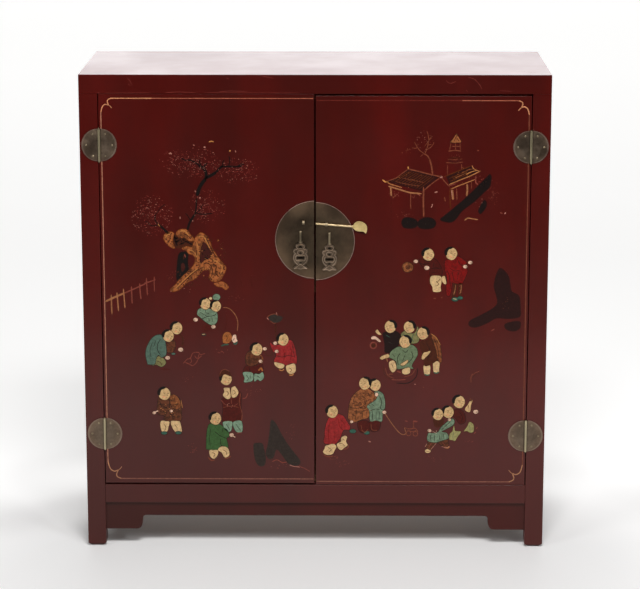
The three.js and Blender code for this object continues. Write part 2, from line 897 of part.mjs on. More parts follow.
addPiece(carcass, "back_panel", backPanelBox(0), lacquer);
addPiece(carcass, "apron_front", frontApron(), lacquer);
addPiece(carcass, "shelf", shelf(), bareWood);
addPiece(carcass, "door_stop_top", doorStop(openingTop - jointGap - stopHeight), bareWood);
addPiece(carcass, "door_stop_bottom", doorStop(openingBottom + jointGap), bareWood);

for (const [side, sideName] of sideNames) {
  const door = new THREE.Group();
  cupboard.add(door);
  addPiece(door, `door_${sideName}`, doorSlab(side), lacquer);
  for (const [level, z] of battenHeights(side)) {
    addPiece(door, `door_batten_${level}_${sideName}`, battenSolid(side, z, 0), bareWood);
  }
  addHinges(carcass, door, side, sideName);
  addPiece(door, `moon_plate_${sideName}`, moonPlate(side), agedBrass);
  addPiece(door, `staple_${sideName}`, staple(side), agedBrass);
  addPiece(door, `pull_strap_${sideName}`, strap(side), agedBrass);
  addPiece(door, `pull_${sideName}`, pull(side), agedBrass);
}
addPiece(cupboard, "lock_bar", lockBar(), paleBrass);

export default cupboard;
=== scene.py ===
"""A red lacquer two-door cupboard with painted doors and brass fittings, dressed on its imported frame.

Metres, +Z up, with the front facing -Y. The paintings are placed by pixels of the 640 x 589
photograph, and each pixel is carried along the camera's own line of sight onto the door's face.
"""
import json
import math
import random

import bmesh
import bpy
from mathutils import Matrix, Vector


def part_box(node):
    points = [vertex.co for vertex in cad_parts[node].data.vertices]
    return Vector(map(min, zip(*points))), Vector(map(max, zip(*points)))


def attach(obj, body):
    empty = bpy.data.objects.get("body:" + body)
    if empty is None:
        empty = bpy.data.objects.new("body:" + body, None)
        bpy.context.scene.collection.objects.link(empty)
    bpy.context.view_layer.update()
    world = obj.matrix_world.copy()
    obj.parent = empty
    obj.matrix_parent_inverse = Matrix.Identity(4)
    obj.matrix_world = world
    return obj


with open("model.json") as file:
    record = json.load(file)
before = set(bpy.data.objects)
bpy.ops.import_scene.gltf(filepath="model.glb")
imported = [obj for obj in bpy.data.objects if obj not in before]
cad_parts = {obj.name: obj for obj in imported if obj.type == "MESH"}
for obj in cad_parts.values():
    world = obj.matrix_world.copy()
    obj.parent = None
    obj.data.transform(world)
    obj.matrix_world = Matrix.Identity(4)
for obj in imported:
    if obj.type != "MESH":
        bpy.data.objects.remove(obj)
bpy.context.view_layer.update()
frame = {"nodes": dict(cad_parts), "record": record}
nodes = frame["nodes"]

MM = 0.001

# Camera, fitted to the photograph
FRAME_WIDTH = 640
FRAME_HEIGHT = 589
SENSOR_WIDTH = 36.0
LENS = 134.88
CAMERA_PLACE = Vector((0.05214, -4.64675, 1.5376))
CAMERA_PITCH = math.radians(-12.965)
CAMERA_YAW = math.radians(0.545)

# Places that follow from the frame
DOOR_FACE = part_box("door_left")[0].y
LEAF_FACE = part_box("moon_plate_left")[0].y
TOP_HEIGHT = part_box("top_panel")[1].z


def add_camera():
    data = bpy.data.cameras.new("camera")
    data.sensor_fit = "HORIZONTAL"
    data.sensor_width = SENSOR_WIDTH
    data.lens = LENS
    data.clip_end = 100
    camera = bpy.data.objects.new("camera", data)
    camera.location = CAMERA_PLACE
    camera.rotation_euler = (math.pi / 2 + CAMERA_PITCH, 0, CAMERA_YAW)
    bpy.context.scene.collection.objects.link(camera)
    bpy.context.scene.camera = camera
    bpy.context.view_layer.update()
    return camera


CAMERA_TURN = add_camera().matrix_world.to_3x3()


class Graph:
    """A node tree, with short calls to add nodes to it."""

    def __init__(self, tree):
        self.tree = tree

    def node(self, kind, inputs=(), **settings):
        made = self.tree.nodes.new(kind)
        for setting, value in settings.items():
            setattr(made, setting, value)
        for socket, value in dict(inputs).items():
            self.put(made.inputs[socket], value)
        return made

    def put(self, socket, value):
        if isinstance(value, bpy.types.NodeSocket):
            self.tree.links.new(value, socket)
        else:
            socket.default_value = value

    def mix(self, share, a, b):
        return self.node("ShaderNodeMix", {"Factor": share, 6: a, 7: b}, data_type="RGBA").outputs[2]

    def ramp(self, value, stops):
        """A grey level that follows a value, by stops that are each a position and a level."""
        made = self.node("ShaderNodeValToRGB", {"Fac": value})
        elements = made.color_ramp.elements
        elements.remove(elements[1])
        for i, (position, level) in enumerate(stops):
            element = elements.new(position) if i else elements[0]
            element.position = position
            element.color = rgb(level, level, level)
        return made.outputs["Color"]


class Shader(Graph):
    """One material's nodes. Most calls return an output socket."""

    def __init__(self, name, **surface):
        self.material = bpy.data.materials.new(name)
        self.material.use_nodes = True
        super().__init__(self.material.node_tree)
        self.surface = self.tree.nodes["Principled BSDF"]
        for socket, value in surface.items():
            self.surface.inputs[socket.replace("_", " ")].default_value = value

    def place(self, scale=(1, 1, 1), offset=(0, 0, 0)):
        where = self.node("ShaderNodeTexCoord").outputs["Object"]
        mapping = self.node("ShaderNodeMapping", {"Vector": where, "Scale": scale, "Location": offset})
        return mapping.outputs["Vector"]

    def noise(self, scale, detail=3.0, roughness=0.5, vector=None, distortion=0.0):
        inputs = {"Scale": scale, "Detail": detail, "Roughness": roughness, "Distortion": distortion}
        inputs["Vector"] = vector or self.place()
        return self.node("ShaderNodeTexNoise", inputs).outputs["Fac"]

    def spread(self, value, low, high, to_low=0.0, to_high=1.0):
        inputs = {0: value, 1: low, 2: high, 3: to_low, 4: to_high}
        return self.node("ShaderNodeMapRange", inputs, interpolation_type="SMOOTHSTEP").outputs[0]

    def maths(self, operation, a, b=0.0):
        return self.node("ShaderNodeMath", {0: a, 1: b}, operation=operation).outputs[0]

    def away(self, centre, scale):
        """How far a place is from a centre, with each axis drawn out or left out by its own scale."""
        offset = self.place(scale, [-at * along for at, along in zip(centre, scale)])
        return self.node("ShaderNodeVectorMath", {0: offset}, operation="LENGTH").outputs["Value"]

    def within(self, x, z, half_width, half_height):
        """How far out a place is in an oval seen from the front: 1 at its edge."""
        return self.away((x, 0, z), (1 / half_width, 0, 1 / half_height))

    def parts(self):
        """A place's X, Y and Z, each as an output."""
        return self.node("ShaderNodeSeparateXYZ", {0: self.place()}).outputs

    def bump(self, height, distance):
        made = self.node("ShaderNodeBump", {"Height": height, "Distance": distance})
        self.put(self.surface.inputs["Normal"], made.outputs["Normal"])

    def colour(self, value):
        self.put(self.surface.inputs["Base Color"], value)

    def roughness(self, value):
        self.put(self.surface.inputs["Roughness"], value)


def rgb(red, green, blue):
    """A linear colour."""
    return (red, green, blue, 1.0)


def dimmed(tone, share):
    return rgb(*[value * share for value in tone])


# Lacquer: the two reds of its cloudy bands, its dark grain and its fine scratches
DEEP_RED = (0.045, 0.0034, 0.0024)
BRIGHT_RED = (0.076, 0.0036, 0.0025)
GRAIN_TONE = rgb(0.036, 0.0034, 0.0026)
SCRATCH_TONE = rgb(0.13, 0.045, 0.03)
LACQUER_TINT = rgb(1.0, 0.82, 0.72)

# A painted sheen pales the top's upper face, this far down from its height
SHEEN_DEPTH = 0.3 * MM
PAINTED_SHEEN_TONE = rgb(0.165, 0.034, 0.046)

# A painted reflection of the pale floor greys the lacquer towards the feet, between these heights
FLOOR_REFLECTION_FOOT = 0.16
FLOOR_REFLECTION_TOP = 0.43
FLOOR_REFLECTION_TONE = rgb(0.063, 0.020, 0.019)


def red_lacquer(name, strength=1.0, floor_reflection=0.5):
    """Deep red lacquer in cloudy vertical bands, greyer low down by a painted reflection and paler on the
    cupboard's top by a painted sheen.
    """
    s = Shader(name, Coat_Weight=0.06, Coat_Roughness=0.1, IOR=1.345, Specular_Tint=LACQUER_TINT)
    broad = s.noise(3.4, 4.0, 0.6, s.place((1, 1, 0.4)))
    bands = s.noise(11.0, 3.0, 0.55, s.place((1, 1, 0.25)))
    fine = s.noise(90.0, 5.0, 0.65)
    cloud = s.maths("ADD", s.maths("MULTIPLY", broad, 0.6), s.maths("MULTIPLY", bands, 0.4))
    tone = s.mix(s.spread(cloud, 0.34, 0.66), dimmed(DEEP_RED, strength), dimmed(BRIGHT_RED, strength))
    tone = s.mix(s.spread(fine, 0.35, 0.75, 0.0, 0.2), tone, GRAIN_TONE)
    streak = s.noise(34.0, 6.0, 0.7, s.place((9, 9, 0.6)))
    tone = s.mix(s.spread(streak, 0.72, 0.78, 0.0, 0.12), tone, SCRATCH_TONE)
    height = s.parts()["Z"]
    # Painted reflection of the floor: greyer towards the feet.
    tone = s.mix(s.spread(height, FLOOR_REFLECTION_FOOT, FLOOR_REFLECTION_TOP, floor_reflection, 0.0), tone, FLOOR_REFLECTION_TONE)
    # Painted sheen: the top's upper face is paler.
    tone = s.mix(s.spread(height, TOP_HEIGHT - SHEEN_DEPTH, TOP_HEIGHT - SHEEN_DEPTH / 2), tone, PAINTED_SHEEN_TONE)
    s.colour(tone)
    s.roughness(s.spread(s.noise(7.0, 4.0, 0.6), 0.3, 0.7, 0.29, 0.34))
    s.bump(s.noise(140.0, 3.0, 0.5), 0.05 * MM)
    return s.material


WOOD_TONES = (rgb(0.17, 0.085, 0.04), rgb(0.30, 0.17, 0.085))
PORE_TONE = rgb(0.08, 0.04, 0.02)


def inner_wood():
    """Bare wood with its grain along X."""
    s = Shader("inner_wood", IOR=1.45)
    grain = s.noise(7.0, 7.0, 0.65, s.place((0.8, 11, 11)), 0.6)
    pore = s.noise(120.0, 4.0, 0.6, s.place((0.5, 9, 9)))
    tone = s.mix(s.spread(grain, 0.3, 0.72), *WOOD_TONES)
    s.colour(s.mix(s.spread(pore, 0.52, 0.8, 0.0, 0.5), tone, PORE_TONE))
    s.roughness(s.spread(grain, 0.2, 0.8, 0.55, 0.75))
    s.bump(pore, 0.3 * MM)
    return s.material


# Brass tones: dark, light and tarnished
AGED_TONES = ((0.22, 0.17, 0.11), (0.34, 0.27, 0.17), (0.12, 0.085, 0.06))
MOON_TONES = ((0.064, 0.045, 0.030), (0.108, 0.076, 0.047), (0.047, 0.034, 0.024))
PULL_TONES = ((0.15, 0.108, 0.074), (0.27, 0.195, 0.135), (0.07, 0.050, 0.036))
RIDGE_TONES = ((0.43, 0.32, 0.23), (0.74, 0.57, 0.42), (0.26, 0.18, 0.13))
HINGE_TONES = ((0.16, 0.114, 0.080), (0.27, 0.20, 0.142), (0.09, 0.065, 0.05))

# Marks on brass: how warm a plate's outer part is and how bright the painted highlight on its rim, a barrel's
# half widths without and with its edges of painted shade, and the tones of all marks
MOON_RIM = (0.42, 0.85)
HINGE_WARMTH = 0.2
RIM_WIDTH = 0.85 * MM
BARREL_HALF_WIDTH = 2.5 * MM
BARREL_EDGE_HALF_WIDTH = 4.4 * MM
WARM_TONE = rgb(0.31, 0.195, 0.12)
RIM_HIGHLIGHT_TONE = rgb(0.74, 0.54, 0.45)
BARREL_HIGHLIGHT_TONE = rgb(0.50, 0.43, 0.27)
PIT_TARNISH_AND_SHADE_TONE = rgb(0.02, 0.014, 0.011)
PAINTED_SHADE_TONE = rgb(0.05, 0.04, 0.03)


def brass(name, tones, roughness, scale=22.0, share=1.0, **marks):
    """Old brass: two cloudy tones with specks of tarnish, and the marks asked for.

    They are a painted shade round a place, a warm outer part with a painted highlight on its rim, a barrel
    painted as a highlight between lines of painted shade, and dark pits of tarnish and painted shade.
    """
    s = Shader(name, Metallic=1.0)
    dark, light, tarnish = [dimmed(tone, share) for tone in tones]
    cloud = s.noise(scale, 5.0, 0.65)
    speck = s.noise(160.0, 5.0, 0.7)
    tone = s.mix(s.spread(cloud, 0.35, 0.68), dark, light)
    tone = s.mix(s.spread(speck, 0.45, 0.8, 0.0, 0.6), tone, tarnish)
    if "shade" in marks:
        # Painted shade round a place, such as behind a pull.
        tone = s.mix(s.spread(s.within(*marks["shade"]), 0.75, 1.15, 0.8, 0.0), tone, PAINTED_SHADE_TONE)
    if "rim" in marks:
        x, z, radius, warmth, rim_highlight = marks["rim"]
        reach = s.away((x, 0, z), (1, 0, 1))
        outer = s.spread(reach, radius * 0.5, radius, 0.0, warmth)
        tone = s.mix(s.maths("MULTIPLY", outer, s.spread(cloud, 0.3, 0.6, 0.5, 1.0)), tone, WARM_TONE)
        # Painted highlight along the rim.
        edge = s.spread(reach, radius - RIM_WIDTH, radius - RIM_WIDTH / 2, 0.0, rim_highlight)
        tone = s.mix(edge, tone, RIM_HIGHLIGHT_TONE)
    # The barrel: a painted highlight down its middle between lines of painted shade.
    if "barrel" in marks:
        aside = s.away((marks["barrel"], 0, 0), (1, 0, 0))
        edge = s.spread(aside, BARREL_HALF_WIDTH, BARREL_EDGE_HALF_WIDTH, 0.9, 0.0)
        core = s.spread(aside, BARREL_HALF_WIDTH * 0.9, BARREL_HALF_WIDTH * 1.05, 0.8, 0.0)
        tone = s.mix(core, s.mix(edge, tone, PAINTED_SHADE_TONE), BARREL_HIGHLIGHT_TONE)
    for pit in marks.get("pits", ()):
        tone = s.mix(s.spread(s.within(*pit), 0.8, 1.1, 1.0, 0.0), tone, PIT_TARNISH_AND_SHADE_TONE)
    s.colour(tone)
    s.roughness(s.spread(cloud, 0.3, 0.7, roughness, roughness + 0.12))
    s.bump(speck, 0.1 * MM)
    return s.material


# The lock bar's paddle, from its right end, how far its tone runs into the bar's, and the tones of both
PADDLE_LENGTH = 29 * MM
PADDLE_BLEND = 2 * MM
BAR_TONES = (rgb(0.42, 0.30, 0.15), rgb(0.60, 0.45, 0.25))
PADDLE_TONES = (rgb(0.48, 0.34, 0.13), rgb(0.76, 0.58, 0.25))


def lock_brass():
    """Pale brass, its flat paddle yellower than the round bar."""
    s = Shader("lock_brass", Metallic=0.4)
    cloud = s.noise(60.0, 4.0, 0.6)
    share = s.spread(cloud, 0.3, 0.7)
    paddle_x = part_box("lock_bar")[1].x - PADDLE_LENGTH
    on_paddle = s.spread(s.parts()["X"], paddle_x, paddle_x + PADDLE_BLEND)
    s.colour(s.mix(on_paddle, s.mix(share, *BAR_TONES), s.mix(share, *PADDLE_TONES)))
    s.roughness(s.spread(cloud, 0.3, 0.7, 0.28, 0.4))
    return s.material


# The length of a pull below its pin. In millimetres, the dark pits round its openings, of tarnish and painted
# shade: how far down, half width and half height
PULL_LENGTH = 54 * MM
PULL_PITS = [(8.9, 3.3, 2.4), (20.8, 2.2, 2.0), (30.0, 8.2, 2.3), (39.2, 2.3, 2.0)]

# Where the plate is painted darker as painted shade round its pull, as half sizes about the pull's own middle
PULL_PAINTED_SHADE = (13.5 * MM, 27 * MM)


def middle_of(name):
    low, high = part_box(name)
    return (low + high) / 2


def moon_brass(side):
    """A half moon plate: dim, with a painted highlight on its rim, and painted shade where its pull hangs."""
    low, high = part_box("moon_plate_" + side)
    pull = middle_of("pull_" + side)
    rim = (0, (low.z + high.z) / 2, (high.z - low.z) / 2, *MOON_RIM)
    shade = (pull.x, pull.z, *PULL_PAINTED_SHADE)
    return brass("moon_brass_" + side, MOON_TONES, roughness=0.36, scale=16.0, rim=rim, shade=shade)


def pull_brass(side):
    """A cast pull: middling brass, black with tarnish and painted shade in and round its openings."""
    x = middle_of("pull_" + side).x
    axis_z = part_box("pull_" + side)[0].z + PULL_LENGTH
    pits = [(x, axis_z - down * MM, across * MM, high * MM) for down, across, high in PULL_PITS]
    return brass("pull_brass_" + side, PULL_TONES, roughness=0.34, scale=70.0, pits=pits)


# Painted light on each hinge: a share of brightness for its brass, the lower ones painted duller, and how
# bright the painted highlight on its rim is
HINGES = {
    "hinge_upper_left": (1.0, 0.2),
    "hinge_upper_right": (0.74, 0.2),
    "hinge_lower_left": (0.68, 0.12),
    "hinge_lower_right": (0.66, 0.12),
}


def hinge_brass(hinge):
    """A round hinge, its brass dimmed by its own share as painted shade: a painted highlight on its rim, and
    a barrel down its middle painted as a highlight between lines of painted shade.
    """
    share, rim_highlight = HINGES[hinge]
    low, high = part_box(hinge + "_door_leaf")
    axis = middle_of(hinge + "_pin").x
    rim = (axis, (low.z + high.z) / 2, (high.z - low.z) / 2, HINGE_WARMTH, rim_highlight)
    name = hinge + "_brass"
    return brass(name, HINGE_TONES, roughness=0.34, scale=30.0, share=share, rim=rim, barrel=axis)


materials = {
    "red_lacquer": red_lacquer("red_lacquer"),
    "inner_wood": inner_wood(),
    "aged_brass": brass("aged_brass", AGED_TONES, roughness=0.36),
    "pale_brass": lock_brass(),
}

# Pieces with a material of their own, by how their names start
SIDES = ("left", "right")
# The apron's lacquer is dimmed to 0.62 of the usual red as painted shade under the bottom rail.
SPECIAL = {"apron": red_lacquer("apron_lacquer", strength=0.62, floor_reflection=0.2)}
for side in SIDES:
    SPECIAL["moon_plate_" + side] = moon_brass(side)
    SPECIAL["pull_" + side] = pull_brass(side)
for hinge in HINGES:
    SPECIAL[hinge] = hinge_brass(hinge)

JOIN_DISTANCE = 1e-6


def shading_group():
    """Joins the faces that the import leaves apart, and lets them shade as one smooth surface."""
    group = Graph(bpy.data.node_groups.new("joined_faces", "GeometryNodeTree"))
    for end in ("INPUT", "OUTPUT"):
        group.tree.interface.new_socket("Geometry", in_out=end, socket_type="NodeSocketGeometry")
    steps = [
        group.node("NodeGroupInput"),
        group.node("GeometryNodeMergeByDistance", {"Distance": JOIN_DISTANCE}),
        group.node("GeometryNodeRemoveAttribute", {"Name": "custom_normal"}),
        group.node("GeometryNodeSetShadeSmooth"),
        group.node("NodeGroupOutput"),
    ]
    for before, after in zip(steps, steps[1:]):
        group.put(after.inputs[0], before.outputs[0])
    return group.tree


JOINED_FACES = shading_group()
FLAT_ANGLE = math.radians(0.3)
EDGE_ANGLE = math.radians(50)
EDGE_SEGMENTS = 2


def soften(piece, width):
    """Rounds a piece's edges a little, and shades it so that its flat faces stay flat."""
    piece.modifiers.new("joined", "NODES").node_group = JOINED_FACES
    flat = piece.modifiers.new("flat", "DECIMATE")
    flat.decimate_type = "DISSOLVE"
    flat.angle_limit = FLAT_ANGLE
    edges = piece.modifiers.new("edges", "BEVEL")
    edges.width = width
    edges.segments = EDGE_SEGMENTS
    edges.limit_method = "ANGLE"
    edges.angle_limit = EDGE_ANGLE
    piece.modifiers.new("shade", "WEIGHTED_NORMAL").keep_sharp = True


# How far each slot's edges are rounded, and the width for flush joints on the outside
EDGE_WIDTHS = {
    "red_lacquer": 0.9 * MM,
    "inner_wood": 0.6 * MM,
    "aged_brass": 0.25 * MM,
    "pale_brass": 0.3 * MM,
}
FLUSH_EDGE = 0.03 * MM
FLUSH_PIECES = ("top_rail", "top_panel", "post")


def dress_frame():
    slots = {subpart["node"]: subpart["material_slot"] for subpart in frame["record"]["subparts"]}
    for name, node in nodes.items():
        slot = slots[name]
        special = [SPECIAL[start] for start in SPECIAL if name.startswith(start)]
        node.data.materials.clear()
        node.data.materials.append(special[0] if special else materials[slot])
        soften(node, FLUSH_EDGE if name.startswith(FLUSH_PIECES) else EDGE_WIDTHS[slot])


dress_frame()

# Paint colours as the photograph shows them on the doors, out of 255
PAINTS = {
    "skin": (184, 151, 107), "rosy_skin": (198, 162, 138), "blush": (196, 136, 98), "lip": (150, 60, 44),
    "hair": (26, 17, 14), "cream": (188, 157, 114), "leaf": (136, 129, 84), "olive": (110, 106, 70),
    "teal": (102, 120, 98), "deep_teal": (74, 94, 82), "pale_teal": (110, 132, 110), "sage": (94, 108, 82),
    "green": (55, 83, 49), "spruce": (50, 82, 70), "scarlet": (134, 41, 42), "crimson": (110, 18, 22),
    "maroon": (70, 30, 28), "brown": (88, 52, 38), "tawny": (116, 68, 43), "sienna": (134, 81, 51),
    "orange": (152, 90, 50), "gold": (172, 116, 66), "amber": (158, 104, 58), "ochre": (142, 83, 49),
    "ochre_dark": (112, 58, 26), "eave": (152, 100, 62), "fence": (140, 92, 62), "bark": (112, 62, 46),
    "rust": (116, 60, 50), "blossom": (160, 108, 94), "speck_red": (118, 54, 48), "scratch": (106, 50, 45),
    "roof": (84, 44, 26), "thatch": (46, 24, 17), "umber": (66, 36, 28), "plank": (60, 32, 30),
    "slate": (48, 43, 40), "sable": (34, 17, 15), "ink": (28, 15, 13), "tree": (26, 13, 8),
    "shadow": (20, 12, 9), "crag": (41, 20, 19), "outcrop": (31, 12, 11), "outcrop_edge": (46, 19, 17),
    "border": (150, 102, 82), "border_gold": (186, 126, 90), "border_top": (150, 88, 68),
    "border_faint": (100, 44, 38), "border_red": (108, 62, 48), "border_low": (160, 114, 84),
    "border_dull": (122, 80, 68),
}
PAINT_SCALE = 255

# The paint that outlines each of these, and the others have no outline
OUTLINED = {
    "umber": ("skin", "rosy_skin", "cream", "leaf", "orange"),
    "ink": ("teal", "deep_teal", "pale_teal", "sage", "green", "spruce", "olive", "scarlet", "crimson",
            "maroon", "brown", "tawny", "sienna"),
    "ochre_dark": ("ochre",),
    "shadow": ("plank",),
    "outcrop_edge": ("crag", "outcrop"),
}
OUTLINES = {name: edge for edge, names in OUTLINED.items() for name in names}

# The light that falls on the doors and the glare they give back, which the colours above include
DOOR_LIGHT = 0.86
DOOR_GLARE = 0.01
DARKEST_PAINT = 0.0015
WORN_GROUND = rgb(0.06, 0.005, 0.004)
PAINT_TINT = rgb(1.0, 0.8, 0.7)

# Shares of a paint's own tone: at its darkest and lightest, and in dark patches
UNEVEN = (0.78, 1.1)
PATCH_TONE = 0.3

# How far each paint has darkened in patches, where it isn't the usual share
PATCHES = {"ochre": 0.9, "tawny": 0.8, "sienna": 0.8, "brown": 0.75, "orange": 0.6}
PATCHES.update({"crimson": 0.5, "teal": 0.45, "scarlet": 0.45})
USUAL_PATCHES = 0.28

# How far paint sinks into the door and stands off it, more for each layer, and how many layers an
# outline lies under its paint
PAINT_SEAT = 0.05 * MM
PAINT_BASE = 0.06 * MM
PAINT_STEP = 0.02 * MM
OUTLINE_UNDER = 0.5

# Drawing sizes, in pixels of the photograph
OUTLINE_WIDTH = 0.42
FACE_LINE_WIDTH = 0.36
HAND_LINE_WIDTH = 0.3

# The width of a line's ends, as a share of its own, and a hand's width and height as shares of its size
LINE_END = 0.4
HAND_SHARE = 0.84
HAND_HEIGHT = 0.82

# How finely round shapes and curves are divided
OVAL_POINTS = 16
CURVE_STEPS = 4

# How specks gather towards the middle of their patch, and their widths and heights by the size asked for
SPECK_GATHER = 0.7
SPECK_WIDTHS = (0.5, 1.2)
SPECK_HEIGHTS = (0.4, 1.0)

# A child's head, as shares of its radius from its middle: across to the side it looks to, and down
FACE = [(-0.66, -0.5), (-0.1, -0.86), (0.5, -0.7), (0.82, -0.2), (0.78, 0.36), (0.36, 0.84), (-0.2, 0.84),
        (-0.7, 0.4)]
TUFT = [(-0.86, 0.22), (-0.98, -0.26), (-0.7, -0.74), (-0.3, -0.98), (0.22, -0.96), (0.1, -0.72),
        (-0.34, -0.56), (-0.52, -0.2), (-0.6, 0.2)]
CHEEK = (-0.06, 0.42, 0.16, 0.12)
FEATURES = [
    ("ink", (-0.12, 0.0), (0.04, -0.05), (0.18, 0.0)),
    ("ink", (0.42, 0.0), (0.54, -0.05), (0.66, -0.01)),
    ("umber", (-0.14, -0.2), (0.02, -0.26), (0.18, -0.22)),
    ("umber", (0.4, 0.12), (0.46, 0.24), (0.36, 0.28)),
    ("lip", (0.2, 0.5), (0.3, 0.54), (0.42, 0.49)),
]
# How far the features and the cheek sink when a head is bowed
FEATURE_DROP = 0.16
CHEEK_DROP = 0.1

paint_materials = {}


def paint_tone(seen):
    """The linear colour that looks like the seen one under the light on the doors."""
    linear = [((value / PAINT_SCALE + 0.055) / 1.055) ** 2.4 for value in seen]
    return [max((value - DOOR_GLARE) / DOOR_LIGHT, DARKEST_PAINT) for value in linear]


def paint(name):
    """Thin old paint, a little uneven and worn through to the lacquer in specks."""
    if name not in paint_materials:
        tone = paint_tone(PAINTS[name])
        s = Shader("paint_" + name, IOR=1.33, Specular_Tint=PAINT_TINT)
        cloud = s.noise(240.0, 4.0, 0.6)
        patch = s.spread(s.noise(190.0, 5.0, 0.6), 0.44, 0.58, 0.0, PATCHES.get(name, USUAL_PATCHES))
        worn = s.spread(s.noise(560.0, 3.0, 0.6), 0.66, 0.72, 0.0, 0.5)
        uneven = s.mix(s.spread(cloud, 0.3, 0.6), *[dimmed(tone, share) for share in UNEVEN])
        s.colour(s.mix(worn, s.mix(patch, uneven, dimmed(tone, PATCH_TONE)), WORN_GROUND))
        s.roughness(0.42)
        paint_materials[name] = s.material
    return paint_materials[name]


def front_point(face, u, v):
    """The x and z that the camera sees at a pixel of the photograph, on an upright face at that y."""
    across = (u - FRAME_WIDTH / 2) / FRAME_WIDTH * SENSOR_WIDTH / LENS
    up = (FRAME_HEIGHT / 2 - v) / FRAME_WIDTH * SENSOR_WIDTH / LENS
    sight = CAMERA_TURN @ Vector((across, up, -1))
    spot = CAMERA_PLACE + sight * (face - CAMERA_PLACE.y) / sight.y
    return spot.x, spot.z


def bend(before, start, end, after, t):
    """A Catmull-Rom curve between start and end, for one coordinate."""
    cubic = 3 * (start - end) + after - before
    square = 2 * before - 5 * start + 4 * end - after
    return start + t * (end - before + t * (square + t * cubic)) / 2


def smooth(points, closed=True):
    """A smooth line through points; a point given twice running stays a corner."""
    count = len(points)
    line = []
    for i in range(count if closed else count - 1):
        start, end = points[i], points[(i + 1) % count]
        if start == end:
            continue
        before = points[i - 1] if closed or i else start
        after = points[(i + 2) % count] if closed or i + 2 < count else end
        for step in range(CURVE_STEPS):
            t = step / CURVE_STEPS
            line.append(tuple(bend(a, b, c, d, t) for a, b, c, d in zip(before, start, end, after)))
    return line if closed else line + [points[-1]]


def turns(count):
    return [2 * math.pi * i / count for i in range(count)]


def swell(outline, amount):
    """A closed outline moved outwards by an amount."""
    ahead = outline[1:] + outline[:1]
    behind = outline[-1:] + outline[:-1]
    area = sum(a[0] * b[1] - b[0] * a[1] for a, b in zip(outline, ahead))
    push = math.copysign(amount, area)
    grown = []
    for before, here, after in zip(behind, outline, ahead):
        along = Vector((after[0] - before[0], after[1] - before[1]))
        if along.length > 0:
            along.normalize()
        grown.append((here[0] + push * along.y, here[1] - push * along.x))
    return grown


def strip(stations, width, levels, end_share=1.0, place=lambda x, z: (x, z)):
    """The corners and faces of a strip along stations.

    Each of the two levels is a depth and a share of the width, and has two corners at a station.
    """
    last = len(stations) - 1
    corners = []
    for i, (x, z) in enumerate(stations):
        before, after = stations[max(i - 1, 0)], stations[min(i + 1, last)]
        along = Vector((after[0] - before[0], after[1] - before[1])).normalized()
        half = width / 2 * (end_share if i in (0, last) else 1)
        for depth, share in levels:
            for aside in (-half * share, half * share):
                side_x, side_z = place(x + along.y * aside, z - along.x * aside)
                corners.append((side_x, depth, side_z))
    faces = [[0, 1, 3, 2], [4 * last, 4 * last + 2, 4 * last + 3, 4 * last + 1]]
    for i in range(last):
        a, b = 4 * i, 4 * i + 4
        faces += [[a, b, b + 1, a + 1], [a + 2, a + 3, b + 3, b + 2]]
        faces += [[a, a + 2, b + 2, b], [a + 1, b + 1, b + 3, a + 3]]
    return corners, faces


def add_mesh(name, vertices, faces, skins, body):
    """A piece made from its corners and faces, all facing outwards, which moves with a body."""
    mesh = bpy.data.meshes.new(name)
    mesh.from_pydata(vertices, [], faces)
    for skin in skins:
        mesh.materials.append(skin)
    shape = bmesh.new()
    shape.from_mesh(mesh)
    bmesh.ops.recalc_face_normals(shape, faces=shape.faces)
    shape.to_mesh(mesh)
    shape.free()
    piece = bpy.data.objects.new(name, mesh)
    bpy.context.scene.collection.objects.link(piece)
    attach(piece, body)
    return piece


